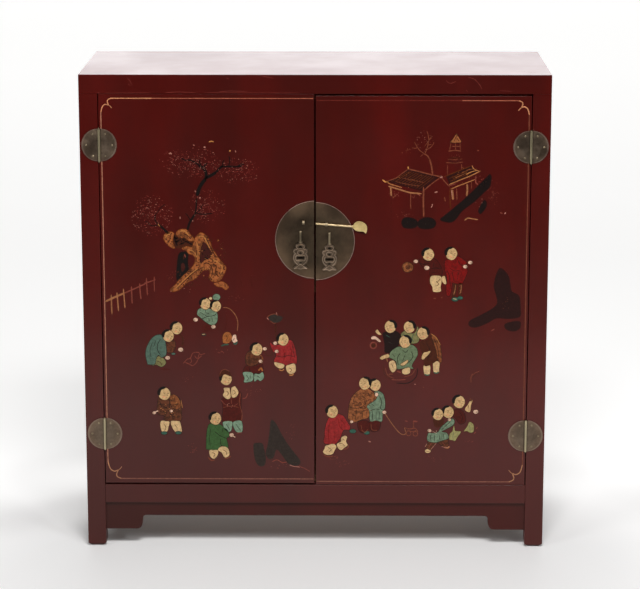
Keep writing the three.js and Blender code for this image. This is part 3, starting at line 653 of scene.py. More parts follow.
class Painting:
    """One motif on an upright face, drawn in pixels of the photograph as closed sheets of paint."""

    def __init__(self, name, body, face=DOOR_FACE):
        self.name = name
        self.body = body
        self.face = face
        self.vertices = []
        self.faces = []
        self.face_paints = []
        self.paints = []
        self.chance = random.Random(name)

    def add(self, name, vertices, faces):
        first = len(self.vertices)
        self.vertices += vertices
        self.faces += [[first + corner for corner in face] for face in faces]
        if name not in self.paints:
            self.paints.append(name)
        self.face_paints += [self.paints.index(name)] * len(faces)

    def point(self, u, v):
        return front_point(self.face, u, v)

    def depths(self, layer):
        return self.face - PAINT_BASE - layer * PAINT_STEP, self.face + PAINT_SEAT

    def sheet(self, name, layer, outline):
        spots = [self.point(u, v) for u, v in outline]
        count = len(spots)
        vertices = [(x, depth, z) for depth in self.depths(layer) for x, z in spots]
        faces = [list(range(count)), list(range(count, 2 * count))]
        faces += [[i, (i + 1) % count, count + (i + 1) % count, count + i] for i in range(count)]
        self.add(name, vertices, faces)

    def outlined(self, name, layer, outline):
        if name in OUTLINES:
            self.sheet(OUTLINES[name], layer - OUTLINE_UNDER, swell(outline, OUTLINE_WIDTH))
        self.sheet(name, layer, outline)

    def blob(self, name, layer, *points):
        self.outlined(name, layer, smooth(points))

    def oval(self, name, layer, u, v, half_width, half_height, plain=False):
        outline = [(u + half_width * math.cos(t), v + half_height * math.sin(t)) for t in turns(OVAL_POINTS)]
        (self.sheet if plain else self.outlined)(name, layer, outline)

    def line(self, name, layer, width, *points):
        """A stroke that thins to its ends."""
        levels = [(depth, 1.0) for depth in self.depths(layer)]
        self.add(name, *strip(smooth(points, closed=False), width, levels, LINE_END, self.point))

    def stripe(self, name, layer, width, stations):
        """An even stripe along places given as real x and z."""
        self.add(name, *strip(stations, width, [(depth, 1.0) for depth in self.depths(layer)]))

    def ring(self, name, layer, width, u, v, radius):
        circle = [(u + radius * math.cos(t), v + radius * math.sin(t)) for t in turns(OVAL_POINTS)]
        self.line(name, layer, width, *circle, (u + radius, v))

    def specks(self, name, layer, size, count, left, top, right, bottom):
        """Small marks scattered over an oval patch, thicker towards its middle."""
        for _ in range(count):
            turn = self.chance.uniform(0, 2 * math.pi)
            reach = self.chance.random() ** SPECK_GATHER
            u = (left + right + (right - left) * reach * math.cos(turn)) / 2
            v = (top + bottom + (bottom - top) * reach * math.sin(turn)) / 2
            wide = size * self.chance.uniform(*SPECK_WIDTHS)
            high = size * self.chance.uniform(*SPECK_HEIGHTS)
            lean = self.chance.uniform(-wide, wide) / 2
            sides = [(u - wide / 2, v), (u + lean, v - high / 2), (u + wide / 2, v), (u - lean, v + high / 2)]
            self.sheet(name, layer, sides)

    def head(self, layer, u, v, radius, look=1, drop=0.0):
        """A child's round head turned to one side, shaved but for black hair at the back and crown."""
        def spots(points, down=0.0):
            return [(u + look * x * radius, v + (y + down) * radius) for x, y in points]

        self.blob("skin", layer + 1, *spots(FACE))
        self.blob("hair", layer + 2, *spots(TUFT))
        x, y, half_width, half_height = CHEEK
        cheek = spots([(x, y)], CHEEK_DROP * drop)[0]
        self.oval("blush", layer + 1.5, *cheek, radius * half_width, radius * half_height, True)
        for name, *points in FEATURES:
            self.line(name, layer + 2, FACE_LINE_WIDTH, *spots(points, FEATURE_DROP * drop))

    def hand(self, layer, u, v, size, look=1):
        size *= HAND_SHARE
        self.oval("rosy_skin", layer, u, v, size, size * HAND_HEIGHT)
        for high, reach, low in ((-0.2, 0.9, -0.1), (0.3, 0.8, 0.4)):
            finger = (u + look * size * 0.1, v + size * high), (u + look * size * reach, v + size * low)
            self.line("umber", layer + 1, HAND_LINE_WIDTH, *finger)

    def finish(self):
        skins = [paint(name) for name in self.paints]
        piece = add_mesh(self.name, self.vertices, self.faces, skins, self.body)
        piece.data.polygons.foreach_set("material_index", self.face_paints)


def paint_motif(side, name, rows):
    """One motif of a door. Each row is a way to draw, what its strokes share, and then the strokes."""
    painting = Painting("painted_" + name, side + "_door")
    for way, *rest in rows:
        shared = [value for value in rest if not isinstance(value, tuple)]
        for stroke in rest[len(shared):]:
            getattr(painting, way)(*shared, *stroke)
    painting.finish()


# The motifs, drawn in pixels of the photograph. A row starts with its way, paint and layer, and a line's
# stroke is its width and places, a blob's its outline, and specks' their size, count and patch.
# Heads and hands have paints of their own, and a stroke of theirs starts with its layer.
# The left door:
paint_motif("left", "blossom_tree", [
    ("line", "tree", 1, (2.2, (187.4, 230), (190, 222), (195.4, 213.6)),
     (1.5, (195, 214.6), (196.2, 207), (196.6, 198)),
     (3.6, (197, 196), (199, 189), (202, 183.4), (206, 178.4)),
     (2.8, (205.4, 179.6), (206.2, 173.4), (203.6, 168.6), (198.6, 165)),
     (1.6, (199.4, 165.6), (194.4, 162), (188.4, 159.7)), (1.3, (188.8, 160), (184.6, 160.2), (181.6, 158)),
     (1.5, (203.8, 169.5), (205, 165), (207.6, 163.4)), (1.0, (201.6, 167), (199.6, 162), (200.2, 159.4)),
     (3.0, (206, 178), (211, 175.4), (216.4, 172.2)), (2.2, (215.4, 173), (219.4, 168.6), (222.9, 165.7)),
     (1.6, (221, 166.6), (230, 166.4), (236, 166.8), (242.4, 165.7)),
     (1.0, (237.6, 166.4), (241, 164), (244.4, 164.6)), (0.9, (228.5, 166), (229.8, 161), (228.9, 156)),
     (0.9, (223, 166), (222.6, 162.4), (224.4, 160)), (1.1, (195.9, 213.6), (204, 214.2), (212.4, 213.3)),
     (0.9, (196, 213), (200, 209.5), (203, 204)), (0.9, (190.4, 220.4), (187.6, 215.6), (185.4, 213.4)),
     (2.2, (168.5, 234), (163, 228.4), (158, 224.2)), (1.2, (158.6, 224.6), (155, 220), (155.4, 214.6)),
     (0.9, (158.6, 224.6), (152, 225.8), (145.5, 221)), (0.7, (155.5, 215), (159.5, 209), (165, 204))),
    ("line", "gold", 1.5, (0.7, (158, 223.8), (159.8, 226.5))),
    ("specks", "speck_red", 0, (1.1, 190, 159, 146, 220, 178)),
    ("specks", "blossom", 1.5, (0.95, 84, 162, 147, 222, 178)),
    ("specks", "speck_red", 0, (1.1, 130, 212, 158, 260, 184)),
    ("specks", "blossom", 1.5, (0.95, 44, 216, 158, 260, 184)),
    ("specks", "speck_red", 0, (1.1, 130, 186, 188, 226, 224)),
    ("specks", "blossom", 1.5, (0.9, 44, 188, 190, 224, 222)),
    ("specks", "speck_red", 0, (1.1, 190, 130, 195, 173, 236)),
    ("specks", "blossom", 1.5, (0.95, 84, 131, 197, 172, 234)),
    ("line", "gold", 1, (1.1, (208.9, 141.8), (211.4, 141.2), (213.6, 141.8))),
    ("line", "blossom", 1, (1.3, (169, 153.8), (170.4, 153.2), (171.6, 154.2))),
    ("line", "gold", 1, (1.7, (229.4, 150.4), (230.4, 151.4))),
    ("line", "blossom", 1, (0.9, (235.4, 150.4), (235.7, 152.4)), (1.1, (203.6, 147), (205.6, 147.3)),
     (0.9, (193, 144.8), (194.6, 145.4))),
    ("line", "blossom", 1.5, (1.5, (199.4, 197.4), (200.4, 198.4)), (1.0, (194.8, 190.6), (195.8, 192.2)),
     (0.9, (180, 216.6), (180.2, 219)), (0.8, (192.4, 220.4), (193, 221.4))),
])
paint_motif("left", "garden_rock", [
    ("blob", "umber", 0, ((172, 234), (178, 234.5), (188, 239), (194, 242), (193, 247), (184, 248),
      (175.5, 248), (172.4, 242))),
    ("specks", "shadow", 0.6, (3.2, 26, 173, 233, 194, 247)),
    ("line", "sable", 0.6, (1.6, (174.6, 235), (175, 240), (177.4, 246)),
     (1.2, (184, 240.4), (189, 243), (192.6, 244.6))),
    ("blob", "ochre", 1, ((163.7, 238.6), (164.8, 234.4), (168.2, 232), (172.4, 232.4), (174, 234.6),
      (172.6, 238.6), (172.4, 242.6), (174.6, 248), (171, 247.2), (166.8, 243.6)),
     ((176.4, 233.6), (178.6, 230.4), (183, 229.2), (187, 230.2), (190.6, 235), (194.2, 239.4),
      (191.6, 241), (187, 239.8), (183.6, 237), (181.4, 237.6), (178.6, 236.6)),
     ((195.6, 237.6), (200.6, 232.8), (205.6, 235.4), (209.4, 240.6), (212.2, 248.6), (215.4, 253.6),
      (219, 259), (223.6, 264.4), (226, 268), (223.6, 274.6), (219.6, 280.4), (213, 281.4), (209.2, 278),
      (210.2, 272.6), (207.6, 268.6), (203.4, 270.4), (199.6, 274), (194.6, 279), (188.4, 281.6),
      (183.6, 285.6), (178.6, 290), (172.4, 291.6), (170.4, 289.6), (175.8, 284.4), (180.6, 278.6),
      (187.6, 271.8), (193.6, 265.6), (195.4, 259), (193.2, 255), (188.6, 253.4), (186.4, 250.4),
      (182, 248.6), (186, 246.4), (192, 247.4), (193.8, 243))),
    ("blob", "plank", 1.8, ((204, 242.6), (207.4, 246.4), (211.6, 254), (209.4, 257.6), (205, 259.6),
      (200.8, 262.6), (200.2, 256), (201.4, 248))),
    ("specks", "shadow", 2.2, (2.0, 14, 201, 246, 210, 260)),
    ("blob", "ochre", 1, ((214.2, 283.6), (218, 282.6), (222.4, 281.8), (226.4, 284.4), (228.4, 287.4),
      (225.6, 289.6), (221.8, 287), (217.4, 286.4))),
    ("line", "amber", 2.6, (1.0, (165.4, 238.4), (167.6, 234.6), (170.4, 234.4)),
     (1.1, (179.6, 231.4), (184.4, 231), (188.6, 235.4)),
     (1.1, (198.6, 236.6), (203, 236.4), (206.8, 242), (209.6, 248)),
     (1.0, (212.6, 259.4), (217.6, 262), (222.4, 267.4), (220.4, 274)),
     (1.0, (197.6, 268.6), (190, 274.6), (182.4, 281.6), (175.6, 288.6)),
     (0.8, (188, 249.6), (193.6, 251.6), (197, 257.6)), (0.8, (196.6, 242), (198, 249), (197.8, 257))),
    ("line", "umber", 2.4, (0.9, (202.6, 236), (204.4, 240.4), (201.6, 244)),
     (1.0, (212.6, 263.6), (216.4, 266.4), (215.2, 272), (218.6, 277)),
     (0.9, (206.4, 239.6), (209.4, 245.4), (213.4, 252.6), (216.6, 257.4)),
     (0.9, (201.6, 268), (194, 272.4), (187.4, 278.4), (180, 285.6)),
     (0.7, (195.6, 246), (196.4, 254), (196.2, 262)), (0.7, (166.4, 243), (169.6, 240), (170.2, 235)),
     (0.8, (183, 233), (187.4, 235.4), (191, 239)),
     (0.8, (205.6, 262.6), (210.4, 265), (212.4, 271), (211.4, 277))),
    ("specks", "umber", 2.5, (2.2, 90, 196, 234, 226, 282), (2.0, 56, 172, 266, 206, 291),
     (1.8, 12, 164, 232, 174, 246), (1.8, 12, 178, 229, 194, 241)),
    ("specks", "amber", 2.7, (1.4, 22, 198, 234, 224, 282)),
    ("line", "rust", 1.2, (1.0, (184.4, 254), (185.6, 257.6))),
    ("specks", "blossom", 1, (1.1, 7, 168, 285, 192, 294)),
])
paint_motif("left", "stone_slab", [
    ("blob", "shadow", 0, ((178.6, 254), (184, 251.6), (188.4, 252.6), (188, 262), (188.8, 270),
      (185.4, 275), (178.6, 280), (176.4, 279), (176.6, 268))),
    ("blob", "plank", 1, ((181.4, 264), (183.6, 263), (184.8, 266), (184.2, 270), (182, 272), (181, 268))),
    ("line", "umber", 2, (0.7, (184, 255), (183.6, 259.6))),
])
paint_motif("left", "fence", [
    ("line", "fence", 1, (1.9, (105, 301.8), (114.6, 297.2), (124.6, 293))),
    ("line", "rust", 1, (1.3, (123.6, 293.4), (136, 288), (146, 283.4)),
     (1.0, (144.6, 283), (150, 281.6), (155.6, 279.6))),
    ("line", "fence", 2, (1.3, (111.2, 294.6), (111.6, 305), (112, 314.1)),
     (1.3, (116.9, 292.4), (117.8, 302), (118.6, 311.1)),
     (1.2, (123.4, 288.6), (124.2, 299), (125, 308.1))),
    ("line", "rust", 2, (1.3, (131.4, 286.4), (131.8, 296), (132.2, 303.6)),
     (1.2, (139.7, 283.4), (140.2, 292), (141, 299.1)), (1.2, (146.4, 278.1), (146.8, 287), (147.6, 295.4)),
     (0.9, (154.2, 276.6), (154.2, 284), (154.6, 291.6))),
    ("specks", "rust", 0, (0.9, 16, 156, 268, 186, 282), (0.9, 10, 228, 294, 244, 302)),
    ("line", "maroon", 1, (1.6, (251.6, 276), (251.2, 282), (252.4, 287)), (1.0, (240.6, 280), (242, 286))),
])
paint_motif("left", "embracing_pair", [
    ("blob", "teal", 1, ((199.3, 308.7), (209.5, 308.9), (216.5, 312.4), (217.6, 318), (216.5, 322.4),
      (213.4, 325), (208.9, 324), (204.4, 320.8), (200, 317), (197.2, 314.2))),
    ("oval", "teal", 1, (216.5, 297.2, 3.8, 3.2)),
    ("line", "ink", 2, (0.6, (201.4, 319), (207.4, 316.6), (213.6, 315.6), (216.6, 313.4)),
     (0.5, (199.6, 312), (204.4, 314.6), (207.4, 316.6)),
     (0.5, (205.4, 309.6), (206, 312.6), (209.4, 313.6)), (0.4, (208.6, 318), (209.6, 321.6)),
     (0.4, (212, 317.6), (212.6, 322))),
    ("head", (3, 205.1, 303.6, 6.4, 1, 0.5), (6, 215.7, 306.0, 6.2, 1, 0.7)),
    ("oval", "cream", 5, (210.6, 298.4, 1.5, 1.3)),
    ("hand", (3, 195.6, 319.6, 2.7, -1), (3, 213.4, 326.8, 2.5, -1)),
    ("oval", "maroon", 0, (206.4, 328.4, 4.4, 3.6, True)),
    ("oval", "slate", 1, (203.8, 334.7, 2.6, 1.5)),
    ("line", "cream", 2, (0.7, (202.2, 334.4), (205.2, 334.2))),
])
paint_motif("left", "hoop_and_crouching_boy", [
    ("line", "fence", 1, (0.6, (222.9, 307.6), (228, 308), (232.6, 311.4), (236.4, 317), (237.9, 323),
      (237.2, 331))),
    ("line", "maroon", 1, (1.1, (226, 312), (226.6, 320), (225, 330.6))),
    ("blob", "orange", 2, ((222.6, 340), (223.2, 335), (226.4, 332.2), (230, 333), (232, 337.4),
      (230.4, 341.6), (227, 343.4), (223.6, 342.8))),
    ("blob", "rosy_skin", 3, ((231.8, 339.6), (233.4, 335.2), (236, 335), (236.4, 338.6), (237.4, 341),
      (234, 342.6))),
    ("line", "umber", 4, (0.5, (226, 335), (227.4, 338.4), (225.6, 341)),
     (0.5, (232.6, 340.6), (235, 338.4))),
    ("line", "spruce", 3, (1.4, (221.2, 346), (225, 344.6), (228.6, 344.4))),
    ("line", "spruce", 4, (1.3, (233.4, 343.2), (235.8, 344.2), (237.2, 341.6))),
    ("specks", "rust", 0, (1.2, 8, 215, 348, 228, 354)),
])
paint_motif("left", "stooping_pair", [
    ("blob", "brown", 1, ((166.4, 344), (170, 341), (174.6, 341.4), (175.3, 347.6), (171.4, 353.4),
      (167.2, 351.6))),
    ("line", "umber", 1.5, (1.6, (178, 333), (182, 336.6), (183, 341), (182, 346.4))),
    ("blob", "deep_teal", 2, ((159.1, 334.6), (164.2, 336.8), (165.6, 343.8), (166.4, 351.4),
      (165.5, 355.3), (161.7, 357.4), (158.8, 355), (156.6, 357), (155.4, 362), (154, 364.4),
      (147.7, 364.4), (147.7, 364.4), (145.6, 354), (147.7, 345.1), (152.8, 337.4))),
    ("line", "ink", 3, (0.6, (160.6, 339), (157.4, 345), (158, 351), (160.6, 355)),
     (0.5, (152.6, 342), (150, 350), (151, 357)), (0.4, (156, 340), (153.6, 347))),
    ("blob", "olive", 1, ((156, 357.6), (160, 356.4), (164.6, 359.6), (165.6, 363.6), (161.4, 366.8),
      (156.4, 364.6), (152.4, 365.4), (153.6, 361.8))),
    ("line", "umber", 2, (0.5, (157, 361), (160.6, 362.6), (162, 365.6)),
     (0.4, (154.6, 363.6), (159, 364))),
    ("head", (3, 176.4, 328.0, 6.9, 1, 0.6), (6, 168.1, 335.8, 6.6, 1, 0.9)),
    ("oval", "deep_teal", 2, (173.4, 353.8, 2.0, 1.0)),
    ("hand", (4, 167.6, 357.8, 2.7, 1), (3, 180.6, 349.6, 2.9, 1)),
    ("line", "maroon", 0, (1.6, (160, 369), (170, 369.4))),
])
paint_motif("left", "small_dog", [
    ("line", "rust", 1, (0.7, (183.4, 363.4), (187, 359.4), (190.4, 358), (193, 353), (198.4, 352.4),
      (200.4, 354.6), (205.2, 353.4)),
     (0.7, (184.6, 362), (189, 364), (192.6, 365.6), (196.4, 362.6), (198.4, 358.6), (202, 355.6)),
     (0.6, (190.4, 358), (191.6, 361.4), (189.4, 363.6)),
     (0.6, (194.6, 355.6), (197.4, 358.6), (199.4, 353))),
    ("specks", "rust", 0, (0.9, 8, 182, 374, 194, 384)),
])
paint_motif("left", "vest_boy", [
    ("blob", "brown", 1, ((248.6, 351.4), (245.9, 356.5), (245.9, 362.9), (249.7, 366), (254.8, 365.2),
      (259.2, 361.6), (259.6, 355), (254, 351.6))),
    ("line", "umber", 2, (0.5, (249.6, 354), (249, 360), (250.4, 364.6))),
    ("line", "tawny", 2, (0.4, (252, 354), (252, 363))),
    ("line", "umber", 2, (0.5, (254.4, 355), (255, 361.6))),
    ("line", "tawny", 2, (0.4, (246.8, 357), (247.6, 362.6))),
    ("blob", "maroon", 0.6, ((246, 366), (254, 366), (262, 364), (263, 371), (262, 373), (244.4, 372.6))),
    ("line", "tawny", 2, (1.4, (260.4, 355), (262.6, 359), (261.6, 364))),
    ("line", "orange", 2, (1.5, (258.6, 370.6), (261, 368), (262.6, 371))),
    ("line", "ink", 2, (0.5, (249, 368), (250.4, 372))),
    ("blob", "pale_teal", 1, ((242.8, 373), (247, 371.8), (252.8, 373.4), (253, 379.8), (248.6, 382),
      (244, 382), (244.6, 378)),
     ((254.6, 374), (259, 374.2), (262.6, 372.2), (263.8, 377.4), (260.6, 380.8), (257.4, 379.6),
      (254.4, 381.4))),
    ("line", "ink", 2, (0.5, (246, 375), (248.4, 378.4), (246.6, 380.8)), (0.5, (257, 375.6), (260, 377.8)),
     (0.4, (250, 375), (251, 379))),
    ("head", (3, 256.4, 349.2, 7.0, 1, 0.4)),
    ("hand", (4, 264.8, 348.8, 2.3, 1), (3, 260.6, 361.2, 2.3, 1)),
    ("ring", "umber", 1, (0.9, 269, 352, 3.9)),
])
paint_motif("left", "red_boy_with_lotus", [
    ("line", "umber", 1, (0.9, (275.2, 323.4), (275.4, 332), (276.6, 342))),
    ("blob", "scarlet", 1, ((270.0, 342.6), (273.9, 345.2), (280.3, 344.4), (290.5, 340), (294.6, 347),
      (296.5, 356), (296.3, 363.6), (291.4, 363), (286, 365.4), (280, 363), (274.0, 361.4), (276.4, 354.6),
      (272.6, 350.6))),
    ("line", "crimson", 2, (0.8, (282.6, 349), (284.6, 354), (283.6, 361)),
     (0.8, (289.4, 345), (291.6, 352), (290.4, 360))),
    ("line", "ink", 2, (0.5, (276.4, 355.6), (282, 357), (288, 355.6), (293.6, 356.6)),
     (0.5, (292.6, 344), (293.4, 352), (295, 358)), (0.4, (277.6, 347), (281.4, 351))),
    ("blob", "cream", 2, ((274.4, 362.3), (279, 363), (284.2, 364.8), (283, 368), (279, 368.2),
      (275.4, 365.6)),
     ((286.2, 366.2), (290, 364.6), (294.3, 363.6), (295.8, 368), (295, 372.2), (290.5, 374),
      (286.9, 371.2))),
    ("line", "umber", 3, (0.5, (288.6, 367.6), (292, 370), (289.4, 372))),
    ("line", "gold", 3, (0.9, (279, 369.6), (282, 370.6), (284, 369)),
     (0.9, (289, 375), (292, 375.2), (293.6, 373.8))),
    ("head", (3, 282.7, 339.4, 6.8, 1, 0.3)),
    ("hand", (4, 275.2, 343.2, 2.3, 1), (4, 276.6, 351.4, 2.3, 1)),
    ("line", "umber", 1, (0.8, (275.2, 322.4), (275.9, 328), (275.6, 333))),
    ("blob", "slate", 1, ((268.4, 317.6), (271.4, 314.8), (275, 314.2), (278.6, 315.4), (282.8, 317.4),
      (280.6, 321), (276.4, 322.8), (271.6, 321.8))),
    ("line", "bark", 2, (0.7, (267.2, 317), (270.4, 315), (274.4, 313.9), (278, 315.4)),
     (0.6, (270, 320.6), (273.6, 323.2), (276, 322.8))),
    ("line", "blossom", 2, (0.6, (276.2, 312.4), (277, 314.4)), (0.7, (267, 317.6), (268.6, 319.8))),
    ("specks", "slate", 0, (1.2, 8, 280, 312, 286, 322)),
])
paint_motif("left", "capped_boy", [
    ("blob", "maroon", 0.6, ((222, 398.6), (230, 397), (240.2, 391.8), (241, 406), (241.2, 421.6),
      (232, 421.8), (222.8, 421.4), (223, 408))),
    ("line", "rust", 2, (0.6, (221, 400), (225.4, 404.6), (232, 406.6), (238, 403.4))),
    ("line", "bark", 2, (0.6, (223, 407.6), (231, 406), (238.6, 407.4)),
     (0.6, (240.6, 393), (239.4, 403), (242, 413), (241.6, 421))),
    ("line", "rust", 2, (0.5, (231, 398), (231.6, 404))),
    ("specks", "blossom", 2, (0.9, 9, 225, 403, 239, 409)),
    ("blob", "cream", 2, ((224, 388), (229.4, 387.8), (229.4, 387.8), (230.6, 397), (226.9, 399),
      (223, 395.2), (224.4, 392)),
     ((231.3, 388.2), (235, 386.3), (235, 386.3), (238.4, 392), (236, 396.8), (231.8, 396.8))),
    ("line", "umber", 3, (0.5, (226.6, 391), (228.6, 393.4), (226.8, 396)),
     (0.5, (233, 390), (235.4, 392), (233.4, 394.6))),
    ("blob", "pale_teal", 1, ((223.4, 421.8), (231.8, 421.6), (232, 427), (230.4, 431.4), (226.4, 431),
      (223.6, 426.6)), ((233.6, 421.8), (241.4, 421.2), (242.2, 431.4), (237, 432), (233.8, 427.6))),
    ("line", "ink", 2, (0.5, (226, 424), (228.4, 427.4), (229.6, 430.4)),
     (0.5, (236, 424), (238.6, 428), (240.8, 430.4))),
    ("line", "rust", 2, (0.8, (236.8, 433), (241.6, 432.6))),
    ("head", (3, 225.8, 378.9, 6.9, 1, 0.1)),
    ("blob", "umber", 6, ((219.4, 376.8), (220.2, 371.6), (224.8, 369.6), (229.4, 371.4), (230.8, 376.4),
      (225, 374.4))),
    ("line", "bark", 7, (0.6, (219.8, 374.4), (221.6, 370.8), (225, 369.4), (229.4, 371.4))),
    ("line", "rust", 1, (0.9, (242.6, 398.6), (246, 397.6), (247.8, 393.4))),
    ("specks", "rust", 0, (1.0, 12, 246, 384, 262, 396)),
])
paint_motif("left", "patterned_robe_boy", [
    ("blob", "brown", 1, ((158.8, 397.6), (163, 396.7), (170, 394.8), (177, 396.1), (180.8, 402.5),
      (181.5, 413.9), (180.4, 421), (172, 420.4), (165.2, 421.2), (163.8, 415.4), (158.6, 414.4),
      (157.2, 408.6))),
    ("blob", "tawny", 2, ((169.8, 396), (174, 394.6), (178.4, 398), (180.8, 405), (178, 409), (173, 408),
      (170, 402))),
    ("specks", "ink", 3, (1.5, 26, 158, 396, 181, 421)),
    ("specks", "gold", 3.4, (1.1, 26, 158, 396, 181, 421)),
    ("line", "ink", 3, (0.6, (169, 397), (169.8, 404), (168.6, 412)),
     (0.5, (159.6, 401), (161.4, 407), (160.4, 412.6))),
    ("line", "gold", 3, (0.5, (181, 400), (182.4, 408))),
    ("line", "ink", 3, (0.5, (172, 413), (173, 420))),
    ("blob", "cream", 1, ((160.8, 421.4), (165, 420.8), (169.4, 421.8), (168.4, 427), (167.2, 431),
      (162.8, 432.4), (160.6, 427)),
     ((170.8, 421.6), (175, 420.8), (179.6, 421.4), (181.6, 429), (181.4, 431.6), (176.4, 432.6),
      (172.6, 428))),
    ("line", "umber", 2, (0.5, (164, 424), (166, 428), (164, 430.6)),
     (0.5, (174.6, 424.4), (177.6, 428.4))),
    ("oval", "spruce", 2, (164.2, 433.0, 3.0, 1.5), (178.4, 432.8, 3.0, 1.5)),
    ("head", (4, 164.2, 393.6, 7.1, 1, 0.2)),
    ("hand", (3, 154.2, 412.8, 2.0, -1)),
    ("line", "rosy_skin", 3, (0.9, (155, 411.8), (158.4, 410.8))),
    ("hand", (4, 171.3, 411.0, 1.9, -1)),
])
paint_motif("left", "green_boy", [
    ("blob", "green", 1, ((209.3, 424.3), (216.5, 423.3), (222.9, 426.4), (228.2, 431), (229, 436.6),
      (226.4, 438.4), (228.2, 447.4), (221.6, 445.6), (216.6, 450), (206.2, 449.2), (206.2, 449.2),
      (206.8, 433))),
    ("line", "ink", 2, (0.6, (214.6, 431.4), (219.6, 435.4), (226.4, 438.4)),
     (0.5, (221, 438), (220.4, 443.6), (223, 446.4)), (0.4, (211, 428), (209.4, 438), (210.4, 447)),
     (0.4, (222.6, 428.4), (222.4, 432.4))),
    ("blob", "cream", 1, ((209.4, 450.6), (213.6, 449.8), (217.9, 450.4), (217.6, 455), (214, 458.8),
      (210.2, 456)),
     ((217.8, 449.9), (221.4, 446.6), (227.5, 447.9), (229.4, 454.8), (224.8, 457.4), (221.6, 452.4))),
    ("line", "umber", 2, (0.5, (212, 452.4), (215, 454), (213.4, 456.6)),
     (0.5, (222.6, 449.6), (226, 451.6), (226.6, 455))),
    ("line", "bark", 2, (1.1, (208, 457), (211.4, 460.4), (215, 459.6)),
     (1.1, (224.4, 458.4), (228.2, 457.8), (230.6, 456.2))),
    ("head", (3, 215.2, 418.4, 7.0, 1, 0.4)),
    ("hand", (3, 231.6, 435.0, 2.6, 1)),
    ("line", "rosy_skin", 3.4, (0.8, (233, 436), (235.4, 437.4))),
])
paint_motif("left", "dark_peaks", [
    ("blob", "slate", 0, ((253.4, 444.8), (257.4, 442.8), (262.6, 443.6), (264.4, 450), (266, 458.6),
      (264.4, 465.4), (258.8, 465.8), (254.8, 459)),
     ((271.2, 419.9), (276.4, 424), (281.4, 433.6), (288, 444.2), (295, 453.4), (300.5, 461),
      (298.2, 465.2), (289.4, 464.6), (281.8, 455), (276.5, 449.7), (273.6, 457.6), (269, 459),
      (265.6, 453.7), (267.6, 444.6), (269.4, 432))),
    ("line", "rust", 1, (0.7, (272.4, 461.6), (277, 459.8), (282, 462.4), (287, 462))),
    ("line", "blossom", 1, (0.6, (289.4, 464.8), (294, 466.4), (300, 467))),
    ("line", "rust", 1, (0.5, (300, 466.6), (305, 468.6), (310, 471.6))),
    ("specks", "rust", 0, (0.9, 14, 286, 423, 298, 442), (0.9, 14, 266, 461, 300, 469),
     (1.1, 18, 186, 443, 200, 453)),
])

# The right door:
paint_motif("right", "bare_tree", [
    ("line", "bark", 1, (1.5, (432.6, 174), (431.4, 166), (429.6, 159)),
     (1.1, (429.8, 159.6), (427, 155.4), (423, 153.4)), (0.7, (424.6, 154), (419, 149.6), (414.4, 142)),
     (0.7, (424.8, 154), (427.4, 147), (428.6, 138), (427, 131)), (0.6, (428.4, 141), (431.6, 137.6)),
     (0.6, (428, 145), (431.6, 144.4)), (0.6, (422.6, 154.6), (420.4, 156.6)),
     (0.5, (424.6, 146.4), (428, 141.4), (430.8, 137)), (0.5, (426.2, 150.4), (431, 147), (434, 143)),
     (0.5, (418.2, 147.2), (415, 148.4), (412, 147.6))),
    ("specks", "bark", 0, (0.9, 22, 416, 130, 434, 152)),
    ("specks", "blossom", 1.5, (0.8, 16, 417, 131, 434, 152)),
    ("specks", "bark", 0, (1.2, 8, 401, 147, 412, 156)),
])
paint_motif("right", "pagoda", [
    ("blob", "sienna", 2, ((450.4, 142), (453.4, 138.6), (456.4, 133.6), (456.4, 133.6), (459.4, 138.4),
      (461, 142), (455.6, 143))),
    ("line", "umber", 3, (0.5, (454, 141.6), (456.4, 136)), (0.5, (459, 141.6), (456.6, 137))),
    ("line", "bark", 1, (0.9, (452, 146.4), (460, 146.4)),
     (1.0, (448.4, 151.2), (455, 150.4), (461, 151.2)), (0.6, (451, 143), (449.6, 150.4)),
     (0.6, (460, 143), (460.4, 150.4)), (0.6, (455.6, 143), (455.4, 150)),
     (0.7, (446, 162.6), (455, 163), (463.4, 162)), (0.5, (447.6, 159.4), (455, 159.8), (462.4, 159))),
    ("specks", "rust", 1, (0.8, 12, 448, 154, 462, 161)),
    ("line", "umber", 1, (0.9, (449, 158), (460, 157.6))),
    ("line", "maroon", 1, (2.6, (448.6, 160.6), (455, 161.6), (461, 160))),
    ("line", "bark", 1, (0.6, (447.6, 165), (447.4, 175)), (0.6, (461.6, 164), (461.8, 170))),
    ("line", "maroon", 1, (0.8, (451, 152), (450, 158)), (0.8, (459.6, 152), (460.4, 158))),
])
